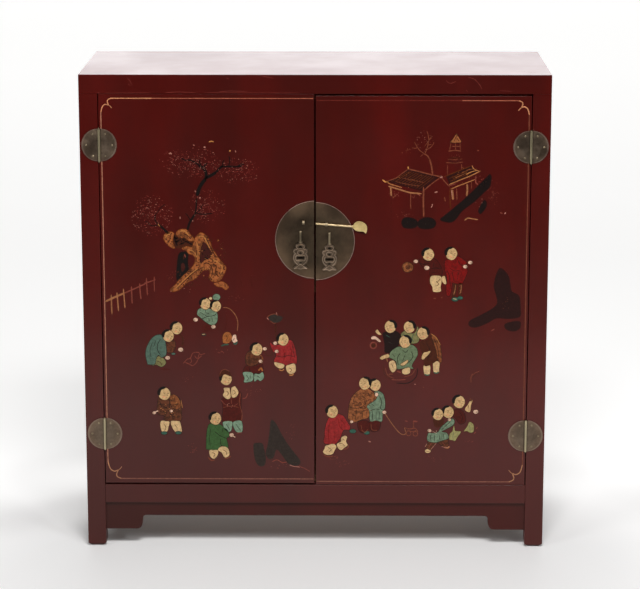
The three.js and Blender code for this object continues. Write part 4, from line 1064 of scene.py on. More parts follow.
paint_motif("right", "left_pavilion", [
    ("blob", "thatch", 0, ((407.6, 170), (407.6, 170), (423, 173), (438.8, 177.4), (438.8, 177.4),
      (431, 183), (421.8, 191), (421.8, 191), (404, 186.6), (386.4, 181.4), (386.4, 181.4), (398, 177))),
    ("line", "bark", 1, (1.2, (407.6, 169), (417, 171), (430, 174.4), (442, 177))),
    ("line", "gold", 1, (1.4, (382.4, 179.6), (385, 181.6), (388.6, 182.6))),
    ("line", "eave", 1, (0.9, (386, 182), (392, 184.6), (402, 187.6))),
    ("line", "bark", 1, (0.8, (386.6, 181.4), (396, 178), (402.6, 173), (408, 169.4))),
    ("line", "fence", 2, (1.5, (388.4, 186.2), (398, 189), (410, 192.6), (421.6, 193.6))),
    ("line", "bark", 1, (0.9, (440, 178), (431, 184.4), (424.6, 190))),
    ("line", "gold", 1, (1.4, (408, 166.4), (408.6, 169.6))),
    ("line", "roof", 1, (0.7, (412, 171.4), (404, 176), (394, 182.4)),
     (0.7, (417, 172.6), (409, 177.6), (399, 184.4)), (0.7, (422, 174), (414, 179.6), (404.6, 185.6)),
     (0.7, (427, 175), (419.6, 180.6), (410.6, 187)), (0.7, (432, 176.4), (425, 181.6), (416, 188.4))),
    ("line", "bark", 1, (0.6, (402, 178), (412, 180), (424, 182.6)),
     (0.6, (396, 181.6), (408, 184.4), (420, 186))),
    ("line", "roof", 1.5, (0.45, (410, 171), (402, 175.4), (391.4, 181.8)),
     (0.45, (414.4, 172), (406.4, 176.8), (396.4, 183.4)),
     (0.45, (419.4, 173.2), (411.4, 178.6), (401.6, 185)),
     (0.45, (424.4, 174.6), (417, 180.2), (407.4, 186.4)),
     (0.45, (429.4, 175.8), (422.4, 181.2), (413.2, 187.8)),
     (0.45, (434.4, 176.8), (428, 182), (419, 189.2))),
    ("specks", "ochre", 1.7, (0.9, 12, 392, 171, 434, 188)),
    ("specks", "rust", 0, (1.4, 12, 389, 191, 403, 197), (1.4, 12, 412, 194, 424, 199)),
    ("line", "fence", 1, (1.8, (390.6, 187), (391, 192), (391.4, 196))),
    ("line", "maroon", 1, (1.2, (391.4, 196), (391, 206), (391.4, 217))),
    ("line", "bark", 1, (0.8, (410.8, 192), (410.6, 203), (411, 209)),
     (1.6, (423.6, 187), (423.4, 203), (423.8, 217))),
    ("line", "maroon", 1, (3.0, (417, 196.6), (419.6, 198))),
    ("line", "bark", 1, (0.9, (392.6, 198), (396, 195))),
    ("line", "blossom", 1, (1.4, (434.6, 192.4), (437.6, 191.8)), (0.8, (431.4, 207.6), (432.6, 204))),
    ("line", "bark", 1, (0.8, (444.4, 197), (445.4, 201.6))),
    ("specks", "rust", 0, (1.1, 12, 396, 212, 414, 218)),
])
paint_motif("right", "right_pavilion", [
    ("blob", "thatch", 0, ((446, 175.8), (446, 175.8), (458, 170.6), (470, 166), (470, 166), (478.4, 172),
      (478.4, 172), (463, 179), (449, 184), (449, 184))),
    ("line", "roof", 1, (0.9, (444, 177), (456, 172), (470.6, 166.2))),
    ("line", "tawny", 1.4, (0.8, (462, 172.6), (468, 170), (474, 168.6))),
    ("line", "gold", 1.6, (0.6, (466, 174.4), (471, 172), (477, 170.4))),
    ("line", "tawny", 1.4, (0.8, (454, 178.4), (461, 175.4), (467, 172.6))),
    ("line", "eave", 2, (1.0, (449, 184.6), (460, 180), (471, 175.6), (480.4, 171)),
     (0.8, (472, 165.4), (474, 169), (480, 171.4))),
    ("line", "roof", 1, (0.7, (449, 178.6), (460, 174), (468, 171)),
     (0.7, (450, 181.4), (461, 177), (472, 172.6)), (0.8, (452, 176), (455, 181)),
     (0.8, (458, 173.4), (461, 178.6)), (0.8, (464, 171), (467, 176))),
    ("specks", "ochre", 1.5, (1.0, 16, 448, 167, 478, 183)),
    ("line", "eave", 2, (0.9, (451, 189), (459, 185.6), (467, 182.6), (475, 179.4))),
    ("line", "rust", 1, (0.8, (448, 186), (456, 183.6))),
    ("line", "blossom", 1, (2.0, (439.6, 176.8), (442.6, 177.2))),
    ("line", "bark", 1, (0.9, (442, 178), (445.6, 182.6), (449.6, 186.6))),
    ("line", "roof", 1, (1.0, (450.2, 187), (450, 198), (450.6, 209))),
    ("line", "fence", 2, (2.2, (452, 189.6), (452.6, 195), (453.2, 199.6))),
    ("line", "blossom", 3, (0.7, (451.6, 190), (452.2, 196))),
    ("line", "bark", 1, (0.8, (456.6, 188), (457, 200))),
    ("line", "fence", 1, (1.7, (467, 184), (467.4, 190), (466.6, 196))),
    ("line", "bark", 1, (0.7, (471.4, 182), (471.6, 189))),
    ("line", "rust", 1, (1.4, (476, 176), (475.6, 182), (478, 184.6))),
    ("specks", "rust", 1, (1.3, 14, 474, 174, 488, 186)),
])
paint_motif("right", "dark_outcrop", [
    ("blob", "outcrop", 1, ((489.8, 174.4), (491.3, 177), (490.8, 182), (489.6, 187), (484.4, 192),
      (475, 201), (464.4, 209), (460, 213.4), (456.4, 218.4), (451.2, 222.2), (444, 221.4), (440.4, 219.4),
      (445, 215.4), (456, 206.4), (466.6, 197.2), (476, 188), (484.6, 179.6), (487.6, 176.4)),
     ((484.6, 200.2), (486.6, 202.6), (486, 207), (483, 211.4), (480, 213.8), (478.4, 211), (480.2, 206.6),
      (482.2, 202.6))),
    ("line", "fence", 1, (1.2, (464.6, 220.4), (467.6, 218.2), (472, 218.8), (478, 219.6))),
    ("specks", "rust", 0, (1.0, 40, 486, 178, 499, 206)),
    ("specks", "blossom", 2, (0.9, 4, 474, 198, 484, 208)),
    ("line", "blossom", 1, (1.0, (504.6, 214), (506, 212.4))),
    ("line", "rust", 1, (0.9, (500, 212.6), (502.6, 213.4))),
    ("line", "bark", 1, (0.9, (477.4, 150.4), (479, 150.8))),
])
paint_motif("right", "round_boulders", [
    ("blob", "outcrop", 0, ((401.6, 222.6), (403.6, 218.4), (409, 217.6), (415, 219.2), (417.6, 223),
      (415.4, 227.4), (409, 228.4), (403.6, 227.2)),
     ((417.4, 224), (420.6, 219.4), (427, 217.4), (433, 218.8), (436, 223), (433.8, 227.4), (427, 229),
      (420, 228))),
    ("specks", "slate", 1, (1.2, 7, 402, 218, 436, 228)),
])
paint_motif("right", "rattle_boy", [
    ("blob", "maroon", 0.6, ((418.6, 260), (424, 259.6), (428, 262), (434.6, 258.6), (441.4, 268),
      (441, 275.6), (430.6, 275.8), (430, 268), (424, 268.4))),
    ("line", "ink", 1.6, (0.6, (419, 262.4), (424, 264.4), (429.6, 263)),
     (0.6, (431, 268.6), (436, 268), (440.6, 269)), (0.5, (434, 262), (433.4, 267)),
     (0.5, (431.4, 273), (436, 272.4))),
    ("blob", "cream", 1, ((430.6, 277), (434.4, 275.6), (440.6, 276.4), (441.6, 281), (440.6, 287),
      (440.6, 291.4), (433.4, 291.6), (432.4, 287), (430.2, 282.6)),
     ((442, 277), (444.6, 276), (445.8, 280), (446.2, 284), (443.6, 283.4), (441.8, 280.4))),
    ("line", "umber", 2, (0.6, (436, 281), (438.6, 284), (436.4, 286)),
     (0.5, (440.6, 278.6), (437, 282.4))),
    ("oval", "sienna", 1, (407.8, 267.2, 5.4, 5.0)),
    ("oval", "brown", 2, (407.8, 267.4, 2.6, 2.4, True)),
    ("ring", "tawny", 3, (0.6, 407.8, 267.2, 4.4)),
    ("line", "umber", 3, (0.5, (405.4, 269.6), (410.4, 265))),
    ("line", "umber", 1, (0.6, (412.6, 264), (415, 261.6))),
    ("hand", (3, 415.8, 261.4, 2.5, -1), (3, 426.8, 267.8, 3.0, -1)),
    ("head", (3, 428.1, 254.4, 7.0, 1, 0.5)),
    ("line", "bark", 0, (0.9, (433.4, 298.6), (436, 298.4)), (0.9, (441, 297.6), (442.6, 297.4))),
])
paint_motif("right", "red_boy_standing", [
    ("blob", "crimson", 1, ((445.4, 260.6), (450, 259.6), (456.6, 256), (461, 258), (466.8, 262.6),
      (464, 265.6), (467.6, 270.4), (465.4, 277), (462, 283.4), (456.6, 283.8), (452.6, 282.7),
      (451.4, 289), (449.4, 296), (446.6, 294.4), (446.4, 286), (447, 278), (444.6, 268))),
    ("line", "ink", 2, (0.5, (457, 258), (459.4, 263), (463.4, 266.4)),
     (0.5, (449.6, 268), (454.6, 271), (460, 270)), (0.5, (452.4, 272), (453.6, 281)),
     (0.5, (447, 271), (449.4, 276), (450.4, 288)), (0.4, (458.6, 271.4), (457.4, 280))),
    ("blob", "umber", 1, ((453.4, 283.6), (457.2, 284), (456.6, 290), (455.2, 296.8), (451.8, 296.6),
      (453.2, 290)), ((458.6, 284), (462.2, 283.6), (462, 290), (461, 296.4), (458.2, 296.4))),
    ("line", "fence", 2, (0.6, (455.6, 284.6), (455.2, 289), (453.6, 295)),
     (0.6, (461.4, 284.6), (461, 290), (459.8, 294))),
    ("specks", "rust", 2.4, (0.9, 7, 452.6, 285, 456.4, 296), (0.9, 7, 458.6, 285, 462, 296)),
    ("oval", "spruce", 2, (455.0, 299.4, 3.4, 2.0), (460.2, 298.0, 2.6, 1.6)),
    ("line", "cream", 3, (0.6, (453, 298.6), (456.6, 299.4))),
    ("head", (3, 451.2, 253.6, 7.0, 1, 0.0)),
    ("hand", (4, 470.2, 262.6, 2.5, 1), (4, 465.2, 266.6, 2.5, 1)),
])
paint_motif("right", "dark_crag", [
    ("blob", "crag", 0, ((499.6, 268.6), (504, 270.4), (508.6, 276.6), (510, 284), (511.6, 291.4),
      (518, 295), (519.8, 300), (520.2, 308), (519.6, 316.6), (508, 318.6), (496.6, 318), (489, 322),
      (480, 326), (473.4, 327.2), (469, 325), (470.4, 320.6), (480, 315.6), (492, 309), (497.4, 303),
      (496, 294), (494, 286), (496, 276)),
     ((504.6, 325), (510, 322.4), (519.6, 321.6), (519.8, 328), (514, 331), (507, 329.6))),
    ("specks", "bark", 1, (0.8, 8, 502, 292, 512, 312)),
    ("line", "rust", 1, (1.0, (491, 331), (494.6, 329))),
])
paint_motif("right", "four_boys_and_tub", [
    ("line", "umber", 0, (0.7, (384, 364), (383.4, 370), (385.6, 376), (392, 380))),
    ("line", "bark", 1, (0.6, (385.4, 368), (387.6, 375), (394, 378.4))),
    ("line", "rust", 1, (0.7, (391.7, 379.6), (399, 380), (406, 379.4))),
    ("line", "sable", 0, (1.0, (396, 383), (408, 383), (416, 377), (417.6, 368))),
    ("line", "bark", 1, (0.6, (404, 377), (411.6, 374.6), (415.4, 369))),
    ("blob", "olive", 1, ((401.4, 333.6), (405.4, 331), (412, 333.6), (415.8, 331.4), (417.6, 326.4),
      (419.2, 333), (418.6, 341.4), (412.6, 343.6), (406, 342), (401.6, 337))),
    ("line", "spruce", 2, (0.6, (413.6, 334), (412, 338), (414, 342.6)), (0.6, (417.4, 330), (416.4, 336)),
     (0.6, (403, 334), (405.4, 336.4))),
    ("head", (2, 409.6, 327.0, 6.7, -1, 0.2)),
    ("blob", "umber", 4, ((420.6, 341), (427, 339.6), (430, 335), (437.7, 340.1), (440.4, 349.6),
      (441.2, 362), (436.8, 361), (433, 363.6), (424.7, 366.2), (423.2, 357), (419.8, 347))),
    ("blob", "tawny", 5, ((431.4, 334.6), (437, 338.4), (440.4, 347), (441.6, 361.6), (438, 360.4),
      (436, 350), (433, 341))),
    ("line", "ink", 6, (0.5, (433.6, 338), (437.4, 347), (438.8, 357))),
    ("line", "gold", 6, (0.5, (430.6, 333.6), (436, 337.4), (440.4, 345))),
    ("line", "ink", 5, (0.5, (426, 343), (429.4, 349), (427.6, 360))),
    ("blob", "skin", 6, ((421.6, 358.4), (423.4, 353), (427, 352), (430.4, 351), (428.6, 354.4),
      (425.4, 357.4), (423.4, 359.4))),
    ("blob", "cream", 3, ((423.6, 366), (427, 365.4), (430.2, 366.2), (429.6, 374), (426.6, 375),
      (424.4, 374)),
     ((433.2, 361.4), (436.4, 360.8), (439.6, 362.6), (439, 369), (438.6, 372.6), (433.8, 372.4))),
    ("line", "spruce", 4, (1.3, (424.6, 374.4), (427.4, 375.2), (429.4, 374.4)),
     (1.3, (433.8, 372.4), (436.4, 373.2), (438.8, 372))),
    ("head", (5, 423.2, 333.2, 6.9, -1, 0.8)),
    ("blob", "sable", 2, ((382.6, 333), (388, 331.4), (396.4, 331.0), (401.4, 336), (400.6, 342),
      (396.4, 348), (391, 352.4), (384.8, 352.4), (384.4, 345), (383.4, 339))),
    ("line", "spruce", 3, (0.4, (386, 335), (390, 337.4))),
    ("line", "slate", 3, (0.5, (388, 342), (393, 344))),
    ("head", (3, 390.6, 326.6, 6.9, -1, 0.4)),
    ("blob", "skin", 3, ((375.6, 331), (377.6, 329.6), (379.2, 332), (381.4, 334.4), (379.4, 334.8),
      (376.4, 333))),
    ("blob", "rosy_skin", 3, ((371.2, 337.6), (373.6, 336), (377, 337.4), (380.6, 341), (379, 342),
      (375.6, 339.4), (372, 339.2))),
    ("line", "maroon", 3, (0.6, (375.4, 325.4), (377, 329))),
    ("ring", "rust", 2, (1.3, 373.4, 345.4, 3.0)),
    ("oval", "umber", 1, (373.4, 345.4, 2.2, 2.2, True)),
    ("blob", "sage", 7, ((398.6, 346.6), (405, 348.4), (411, 344.6), (416.6, 348.6), (417.4, 355),
      (413.6, 361.6), (411.6, 366), (413.2, 368.8), (405, 368), (397.4, 368.8), (396, 361.4),
      (388.8, 357.2), (388.8, 357.2), (391, 351.6))),
    ("line", "ink", 8, (0.6, (400.4, 353), (397.4, 358), (398.4, 365)),
     (0.6, (411.4, 351.4), (412.8, 357), (408.6, 362), (402, 365.6)),
     (0.5, (402.6, 350), (405.4, 352.4), (408.4, 349.6)), (0.5, (405.4, 354), (402.6, 361)),
     (0.4, (392, 353.6), (395, 357))),
    ("blob", "skin", 7, ((379.8, 358), (382.6, 355.8), (388, 354.2), (389.2, 357), (384.4, 358.6),
      (382, 359.6))),
    ("blob", "cream", 7, ((389, 363), (391.6, 360.6), (394.6, 361.4), (396.4, 368.4), (393, 372.4),
      (389.9, 369))),
    ("blob", "cream", 9, ((402.3, 370), (405.6, 368.2), (409.6, 367.8), (409.8, 372.6), (406, 374.4),
      (402.6, 373.4))),
    ("blob", "skin", 9, ((400.4, 364.6), (404, 362), (407.6, 360.2), (407.4, 362.6), (403.4, 365.4))),
    ("line", "umber", 8, (0.5, (391.6, 363.6), (393.4, 368))),
    ("line", "rust", 7, (1.4, (396.8, 371), (401, 372.6))),
    ("line", "bark", 7, (1.0, (388.4, 374.4), (393, 374))),
    ("line", "fence", 6, (1.0, (386.4, 357), (387.6, 362))),
    ("head", (8, 405.3, 341.6, 6.9, -1, 0.7)),
    ("line", "blossom", 0, (1.1, (414.6, 384.6), (415.4, 384))),
    ("line", "bark", 0, (0.9, (423, 387.4), (423.6, 387))),
])
paint_motif("right", "cart_pair", [
    ("blob", "maroon", 0.6, ((358, 422), (368.4, 421.4), (369, 431.6), (360, 431.6)),
     ((370, 421.4), (380, 421.6), (378.6, 430), (371.4, 431))),
    ("line", "bark", 1.6, (0.6, (361.6, 430), (365, 432.4), (368, 429)),
     (0.6, (371, 424), (372, 429.6), (377, 430.4)), (0.5, (361, 425), (362, 430))),
    ("blob", "teal", 1, ((375.2, 391.4), (382.2, 393), (384.8, 400.3), (384.8, 408), (383.2, 410),
      (382.4, 416), (381.6, 421.4), (376, 420.4), (370.2, 421), (369.3, 410.9), (366.9, 406.2),
      (371.6, 401.5))),
    ("line", "ink", 2, (0.6, (379.4, 396), (381.6, 402), (380.6, 408.4), (383, 410)),
     (0.5, (370.6, 410.4), (376, 409), (380, 410)), (0.5, (372.6, 411), (372.4, 420)),
     (0.5, (376, 411), (376.2, 420)), (0.5, (379.4, 411), (379, 420.4)), (0.4, (371.4, 404), (375, 406.4))),
    ("blob", "sienna", 2, ((358.7, 390.4), (364, 388.6), (369, 389.4), (374, 393.2), (376.5, 397.9),
      (372, 402), (366.4, 406.2), (369, 411), (368.4, 417.4), (362.2, 419.2), (353.9, 422.3), (348.6, 419),
      (348.6, 412), (349.4, 405), (352, 397))),
    ("specks", "brown", 2.6, (2.2, 46, 350, 391, 374, 420)),
    ("specks", "orange", 3, (1.4, 34, 354, 391, 370, 418)),
    ("line", "ink", 3.4, (0.6, (349.6, 407), (356, 408.4), (362, 407)),
     (0.5, (362.4, 396), (366.4, 400), (364.6, 405)), (0.5, (356.6, 410), (355.4, 419)),
     (0.5, (362, 410), (362.6, 417.4)), (0.5, (355, 396), (353, 402))),
    ("head", (3, 375.0, 385.0, 6.6, 1, 0.4), (6, 365.0, 383.4, 6.9, -1, 0.2)),
    ("hand", (4, 384.4, 412.3, 2.3, 1), (4, 351.6, 421.8, 1.9, -1)),
    ("oval", "rosy_skin", 4, (376.6, 394.6, 1.6, 1.9)),
    ("oval", "spruce", 1, (352.8, 431.2, 3.2, 2.0), (366.8, 432.8, 2.8, 1.7)),
    ("line", "fence", 1, (0.6, (385.2, 413.9), (389, 419.6), (392.9, 425.1), (398.6, 432), (402.6, 434.6),
      (406, 433.4), (405, 429.6), (404.6, 427.4))),
    ("line", "bark", 1, (0.7, (404.6, 427.4), (409, 429), (414, 428.2), (416, 429), (418, 431.8)),
     (0.7, (407, 430), (412, 431.6), (416.6, 430.4)), (0.7, (413.4, 421.4), (413.6, 428))),
    ("line", "rust", 1, (1.0, (405, 420.8), (407.6, 421.4)), (1.6, (413, 421.2), (417.6, 421.6))),
    ("ring", "bark", 1, (0.7, 408.6, 433.4, 2.3), (0.7, 415.4, 433.8, 2.3)),
    ("line", "blossom", 0, (1.1, (368.4, 441), (370.6, 442))),
])
paint_motif("right", "kneeling_red_boy", [
    ("blob", "scarlet", 1, ((337.4, 413.7), (343.3, 416), (346.9, 421.5), (350, 426.4), (349, 429.6),
      (343.6, 430), (341, 436), (338.6, 440.4), (333.9, 444.1), (324.2, 443), (324.6, 436), (325, 428.6),
      (328, 419.2), (332, 415))),
    ("line", "crimson", 2, (0.8, (338.4, 419), (339.6, 426), (343, 430)),
     (0.7, (330.4, 421), (328.4, 431), (329, 441)), (0.7, (341, 420), (345.6, 425.4)),
     (0.6, (335, 430), (334.6, 440))),
    ("blob", "cream", 1, ((325.4, 445.9), (329, 444.8), (333, 443.6), (336.4, 446.3), (334.6, 450.4),
      (332.5, 454), (326.8, 454.8), (323.1, 452.2), (324.6, 448.6)),
     ((337, 444), (341, 441.6), (341.2, 438), (344.5, 435.7), (347.1, 437.1), (345.9, 441.4),
      (347.6, 445.1), (344, 448), (341, 450), (338, 447.9))),
    ("line", "umber", 2, (0.5, (328, 447.4), (331.4, 449.6), (328.6, 452)),
     (0.5, (339, 443.4), (343, 444), (344.4, 446.6)), (0.4, (342.6, 438.6), (344.4, 440.6))),
    ("line", "bark", 2, (0.9, (323.6, 454.6), (328, 456.8), (333, 456)),
     (0.8, (343.6, 449.4), (347.6, 448), (348.6, 445.4))),
    ("specks", "rust", 0, (1.0, 12, 326, 455, 342, 461), (1.0, 16, 334, 459, 352, 467)),
    ("head", (3, 331.9, 411.5, 7.0, 1, -0.1)),
])
paint_motif("right", "lantern_boys", [
    ("blob", "umber", 1, ((433.4, 418.6), (438, 420), (443.8, 418.6), (443, 424.6), (438, 427.6),
      (434.4, 426))),
    ("blob", "brown", 1, ((428.1, 441.9), (433, 441), (437.9, 441.8), (434, 446), (430.8, 450),
      (427.6, 449), (425.7, 446.3)),
     ((437.7, 441.2), (442, 440.4), (447.3, 439), (448.5, 445.3), (444.6, 447), (440.8, 445))),
    ("line", "rust", 2, (0.5, (431.6, 443), (429, 447)), (0.5, (442, 442), (444.8, 445))),
    ("oval", "cream", 1, (427.8, 451.0, 2.9, 2.0)),
    ("line", "umber", 2, (0.4, (426, 451.4), (429.6, 451.6))),
    ("line", "fence", 1, (1.8, (443.6, 446.6), (447.4, 447.8), (449.6, 446.4))),
    ("blob", "teal", 2, ((451.6, 418.6), (454.4, 421), (453, 425), (447.4, 428.4), (441.4, 431.8),
      (446.6, 433), (448.4, 438.2), (442, 440.4), (435.3, 442.4), (427.6, 440.6), (428.3, 433.5),
      (433, 433.4), (438.4, 431.8), (441, 427.4), (446, 423))),
    ("line", "ink", 3, (0.5, (430.6, 435), (430.2, 440)), (0.5, (434.4, 434.6), (434.4, 441.4)),
     (0.5, (439, 434), (439.8, 440)), (0.5, (450.4, 421.4), (445.6, 426), (441.4, 430)),
     (0.4, (443.4, 434), (444, 439))),
    ("blob", "leaf", 1, ((449.5, 439.4), (449.8, 434), (452.4, 431.4), (454, 425.4), (455, 430.6),
      (458, 431.2), (460.9, 432), (457.4, 437), (455, 440.8), (452, 440))),
    ("line", "spruce", 2, (0.4, (453.6, 432), (452.6, 438))),
    ("blob", "leaf", 1, ((464, 431.2), (467, 427), (469.4, 422.2), (472, 423), (473.7, 426), (473.3, 431.6),
      (470, 432.6), (467, 431))),
    ("line", "spruce", 2, (0.4, (470, 425), (470, 430.4))),
    ("blob", "maroon", 0.6, ((449, 412), (456, 409.4), (463, 411.4), (465.6, 421), (460, 424),
      (455.4, 418))),
    ("line", "ink", 1.6, (0.5, (459.6, 412), (462.4, 417), (461, 422))),
    ("blob", "skin", 2, ((468, 404.6), (470, 401), (472.4, 400.6), (471, 405), (469.8, 412),
      (464.8, 409.7))),
    ("line", "brown", 2.6, (1.6, (470.2, 398.4), (471.4, 401.4))),
    ("line", "umber", 3, (0.5, (468.4, 405), (468.2, 408))),
    ("specks", "rosy_skin", 2.8, (1.3, 6, 430, 430.4, 439, 433.4)),
    ("line", "blossom", 2, (0.5, (427, 443.4), (425, 447)), (0.5, (436.4, 443), (433, 447), (430.6, 450)),
     (0.5, (441.4, 446.4), (446, 447.6), (449, 446.6))),
    ("line", "bark", 1, (0.8, (471, 382.6), (471, 377), (472.4, 373.6)),
     (0.6, (471.4, 376), (475, 373), (480, 371))),
    ("line", "umber", 1, (0.6, (472, 378), (477, 373.6), (480.6, 374))),
    ("hand", (2, 475.8, 411.8, 2.9, 1)),
    ("head", (3, 458.9, 401.7, 7.1, 1, 0.3), (6, 448.0, 412.0, 6.7, 1, 0.2),
     (9, 437.6, 414.2, 6.5, 1, 0.3)),
    ("hand", (4, 429.4, 430.6, 2.2, -1), (4, 449.4, 419.6, 1.9, -1)),
    ("line", "rust", 1, (0.9, (476, 429), (477.6, 427)), (0.9, (473.8, 433.6), (476, 432))),
    ("specks", "rust", 0, (1.0, 8, 462, 440, 474, 443), (1.0, 12, 424, 455, 444, 463)),
])

# The gold border along the three outer sides of each door, in real sizes
BORDER_WIDTH = 1.9 * MM
BORDER_LAYER = 1
BORDER_TOP_INSETS = {"left": 8.1 * MM, "right": 8.9 * MM}
BORDER_SIDE_INSET = 4.7 * MM
BORDER_BOTTOM_INSETS = {"left": 8.5 * MM, "right": 6.5 * MM}
BORDER_SEAM_GAP = 1.5 * MM
BORDER_SIDE_PAINTS = {"left": "border", "right": "border_red"}
# The top line, first from the seam and then on to the corner: the share where it changes, paints and widths
BORDER_TOPS = {
    "left": (0.8, ("border_top", 1.5 * MM), ("border_gold", 1.8 * MM)),
    "right": (0.72, ("border_faint", 1.3 * MM), ("border_top", 1.6 * MM)),
}
# A corner's two arcs and its tail, from where the top line ends, as millimetres in from the two lines
CORNER_ARCS = [(19.7, 0), (14.2, 2.4), (12.6, 6.8), (15.4, 13.6), (15.4, 13.6), (9.6, 11.4), (3.4, 15.4),
               (0, 26.5)]
CORNER_TAIL = [(15.0, 13.2), (17.8, 15.0), (20.4, 18.4)]
TAIL_WIDTH = 1.3 * MM
LOWER_CORNER_SCALE = 1.3


def add_border(side):
    """The border lines of one door, with a cusped corner above and below."""
    low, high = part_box("door_" + side)
    outwards, outer, inner = (-1, low.x, high.x) if side == "left" else (1, high.x, low.x)
    line_x = outer - outwards * BORDER_SIDE_INSET
    seam = (inner + outwards * BORDER_SEAM_GAP, high.z - BORDER_TOP_INSETS[side])
    lower_seam = (seam[0], low.z + BORDER_BOTTOM_INSETS[side])
    painting = Painting("painted_border_" + side, side + "_door")

    def corner(z, up, scale, tone):
        """Draws a corner, and gives its places from the end of the level line to that of the upright one."""
        arcs, tail = ([(line_x - outwards * x * MM * scale, z + up * y * MM * scale) for x, y in points]
                      for points in (CORNER_ARCS, CORNER_TAIL))
        painting.stripe(tone, BORDER_LAYER, BORDER_WIDTH, smooth(arcs, closed=False))
        painting.stripe(tone, BORDER_LAYER, TAIL_WIDTH, smooth(tail, closed=False))
        return arcs

    upper = corner(seam[1], -1, 1.0, "border_gold")
    share, (near, near_width), (far, far_width) = BORDER_TOPS[side]
    change = (seam[0] + share * (upper[0][0] - seam[0]), seam[1])
    painting.stripe(near, BORDER_LAYER, near_width, [seam, change])
    painting.stripe(far, BORDER_LAYER, far_width, [change, upper[0]])
    lower = corner(lower_seam[1], 1, LOWER_CORNER_SCALE, "border_low")
    painting.stripe("border_dull", BORDER_LAYER, BORDER_WIDTH, [lower_seam, lower[0]])
    painting.stripe(BORDER_SIDE_PAINTS[side], BORDER_LAYER, BORDER_WIDTH, [upper[-1], lower[-1]])
    painting.finish()


for side in SIDES:
    add_border(side)

# Wear and painted highlight on the rail over the doors: pale scratches, and the pale line along its lower
# edge above the seam, partly wear and partly a painted highlight, each with its width
RAIL_SCRATCHES_AND_EDGE_HIGHLIGHT = [
    (0.5, (127, 78), (130, 81), (132, 85)),
    (0.4, (128, 84), (131, 86)),
    (0.5, (219, 91.6), (232, 91.0), (247, 91.6)),
    (0.5, (165, 92.6), (180, 92.0), (196, 92.8)),
    (0.4, (103, 93.2), (124, 93.0), (150, 92.8)),
    (0.6, (97, 93.0), (100, 92.8)),
    (0.35, (204, 92.6), (250, 92.8), (300, 93.0)),
    (0.6, (226, 78), (229, 79)),
    (0.5, (262, 76), (274, 78.4)),
    (0.5, (446, 80.4), (450, 83.4), (456, 81.4)),
    (0.5, (468, 77.4), (474, 79), (479, 84), (482, 89)),
    (0.5, (466, 90), (468, 92)),
    (0.4, (500, 90.6), (512, 91.4)),
]
painting = Painting("rail_scratches", "cabinet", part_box("top_rail_front")[0].y)
for width, *points in RAIL_SCRATCHES_AND_EDGE_HIGHLIGHT:
    painting.line("scratch", 0, width, *points)
painting.finish()

# Lacquer fills the joint round the top panel, this far below the top and lapping this far into each side
JOINT_GAP = 0.3 * MM
FILLER_DROP = 0.015 * MM
FILLER_LAP = 0.1 * MM
FILLER_DEPTH = 1.5 * MM


def add_joint_filler():
    """A thin frame of lacquer in the gap between the top panel and the rails round it."""
    left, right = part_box("top_rail_left")[1].x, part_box("top_rail_right")[0].x
    front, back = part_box("top_rail_front")[1].y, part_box("top_rail_back")[0].y
    upper = TOP_HEIGHT - FILLER_DROP
    vertices = []
    for inset in (-FILLER_LAP, JOINT_GAP + FILLER_LAP):
        x_low, x_high, y_low, y_high = left + inset, right - inset, front + inset, back - inset
        for z in (upper, upper - FILLER_DEPTH):
            vertices += [(x_low, y_low, z), (x_high, y_low, z), (x_high, y_high, z), (x_low, y_high, z)]
    faces = []
    for i in range(4):
        j = (i + 1) % 4
        for a, b in ((0, 8), (4, 12), (0, 4), (8, 12)):
            faces.append((a + i, a + j, b + j, b + i))
    add_mesh("top_joint_filler", vertices, faces, [materials["red_lacquer"]], "cabinet")


add_joint_filler()

# Cast relief on each pull, as shares of its half width and of its length down from its top
RIDGE_SHARES = [
    [(0.0, 0.075), (-0.4, 0.1), (-0.5, 0.17), (-0.3, 0.235), (0.0, 0.215), (0.3, 0.235), (0.5, 0.17),
     (0.4, 0.1), (0.0, 0.075)],
    [(-0.42, 0.25), (-0.76, 0.27), (-0.84, 0.34), (-0.66, 0.40), (-0.84, 0.47), (-0.86, 0.6), (-0.66, 0.72),
     (-0.34, 0.8)],
    [(0.42, 0.25), (0.76, 0.27), (0.84, 0.34), (0.66, 0.40), (0.84, 0.47), (0.86, 0.6), (0.66, 0.72),
     (0.34, 0.8)],
    [(0.0, 0.29), (-0.3, 0.31), (-0.34, 0.4), (0.0, 0.455), (0.34, 0.4), (0.3, 0.31), (0.0, 0.29)],
    [(0.0, 0.47), (-0.5, 0.475), (-0.64, 0.56), (-0.5, 0.65), (0.0, 0.655), (0.5, 0.65), (0.64, 0.56),
     (0.5, 0.475), (0.0, 0.47)],
    [(-0.84, 0.945), (-0.5, 0.89), (-0.24, 0.83), (0.0, 0.79), (0.24, 0.83), (0.5, 0.89), (0.84, 0.945)],
    [(-0.8, 0.95), (-0.3, 0.925), (0.0, 0.955), (0.3, 0.925), (0.8, 0.95)],
]
RIDGE_WIDTH = 1.3 * MM
RIDGE_HEIGHT = 0.5 * MM
RIDGE_CREST_SHARE = 0.45
RIDGE_SEAT = 0.1 * MM
RIDGE_BRASS = brass("ridge_brass", RIDGE_TONES, roughness=0.3, scale=90.0)


def add_ridges(side):
    """Raised scrolls around a pull's openings."""
    low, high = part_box("pull_" + side)
    middle_x, half_width = (low.x + high.x) / 2, (high.x - low.x) / 2
    axis_z = low.z + PULL_LENGTH
    levels = [(low.y - RIDGE_HEIGHT, RIDGE_CREST_SHARE), (low.y + RIDGE_SEAT, 1.0)]
    vertices = []
    faces = []
    for shares in RIDGE_SHARES:
        spots = [(middle_x + across * half_width, axis_z - down * PULL_LENGTH) for across, down in shares]
        corners, sides = strip(smooth(spots, closed=False), RIDGE_WIDTH, levels)
        faces += [[len(vertices) + corner for corner in face] for face in sides]
        vertices += corners
    add_mesh("pull_ridges_" + side, vertices, faces, [RIDGE_BRASS], side + "_pull")


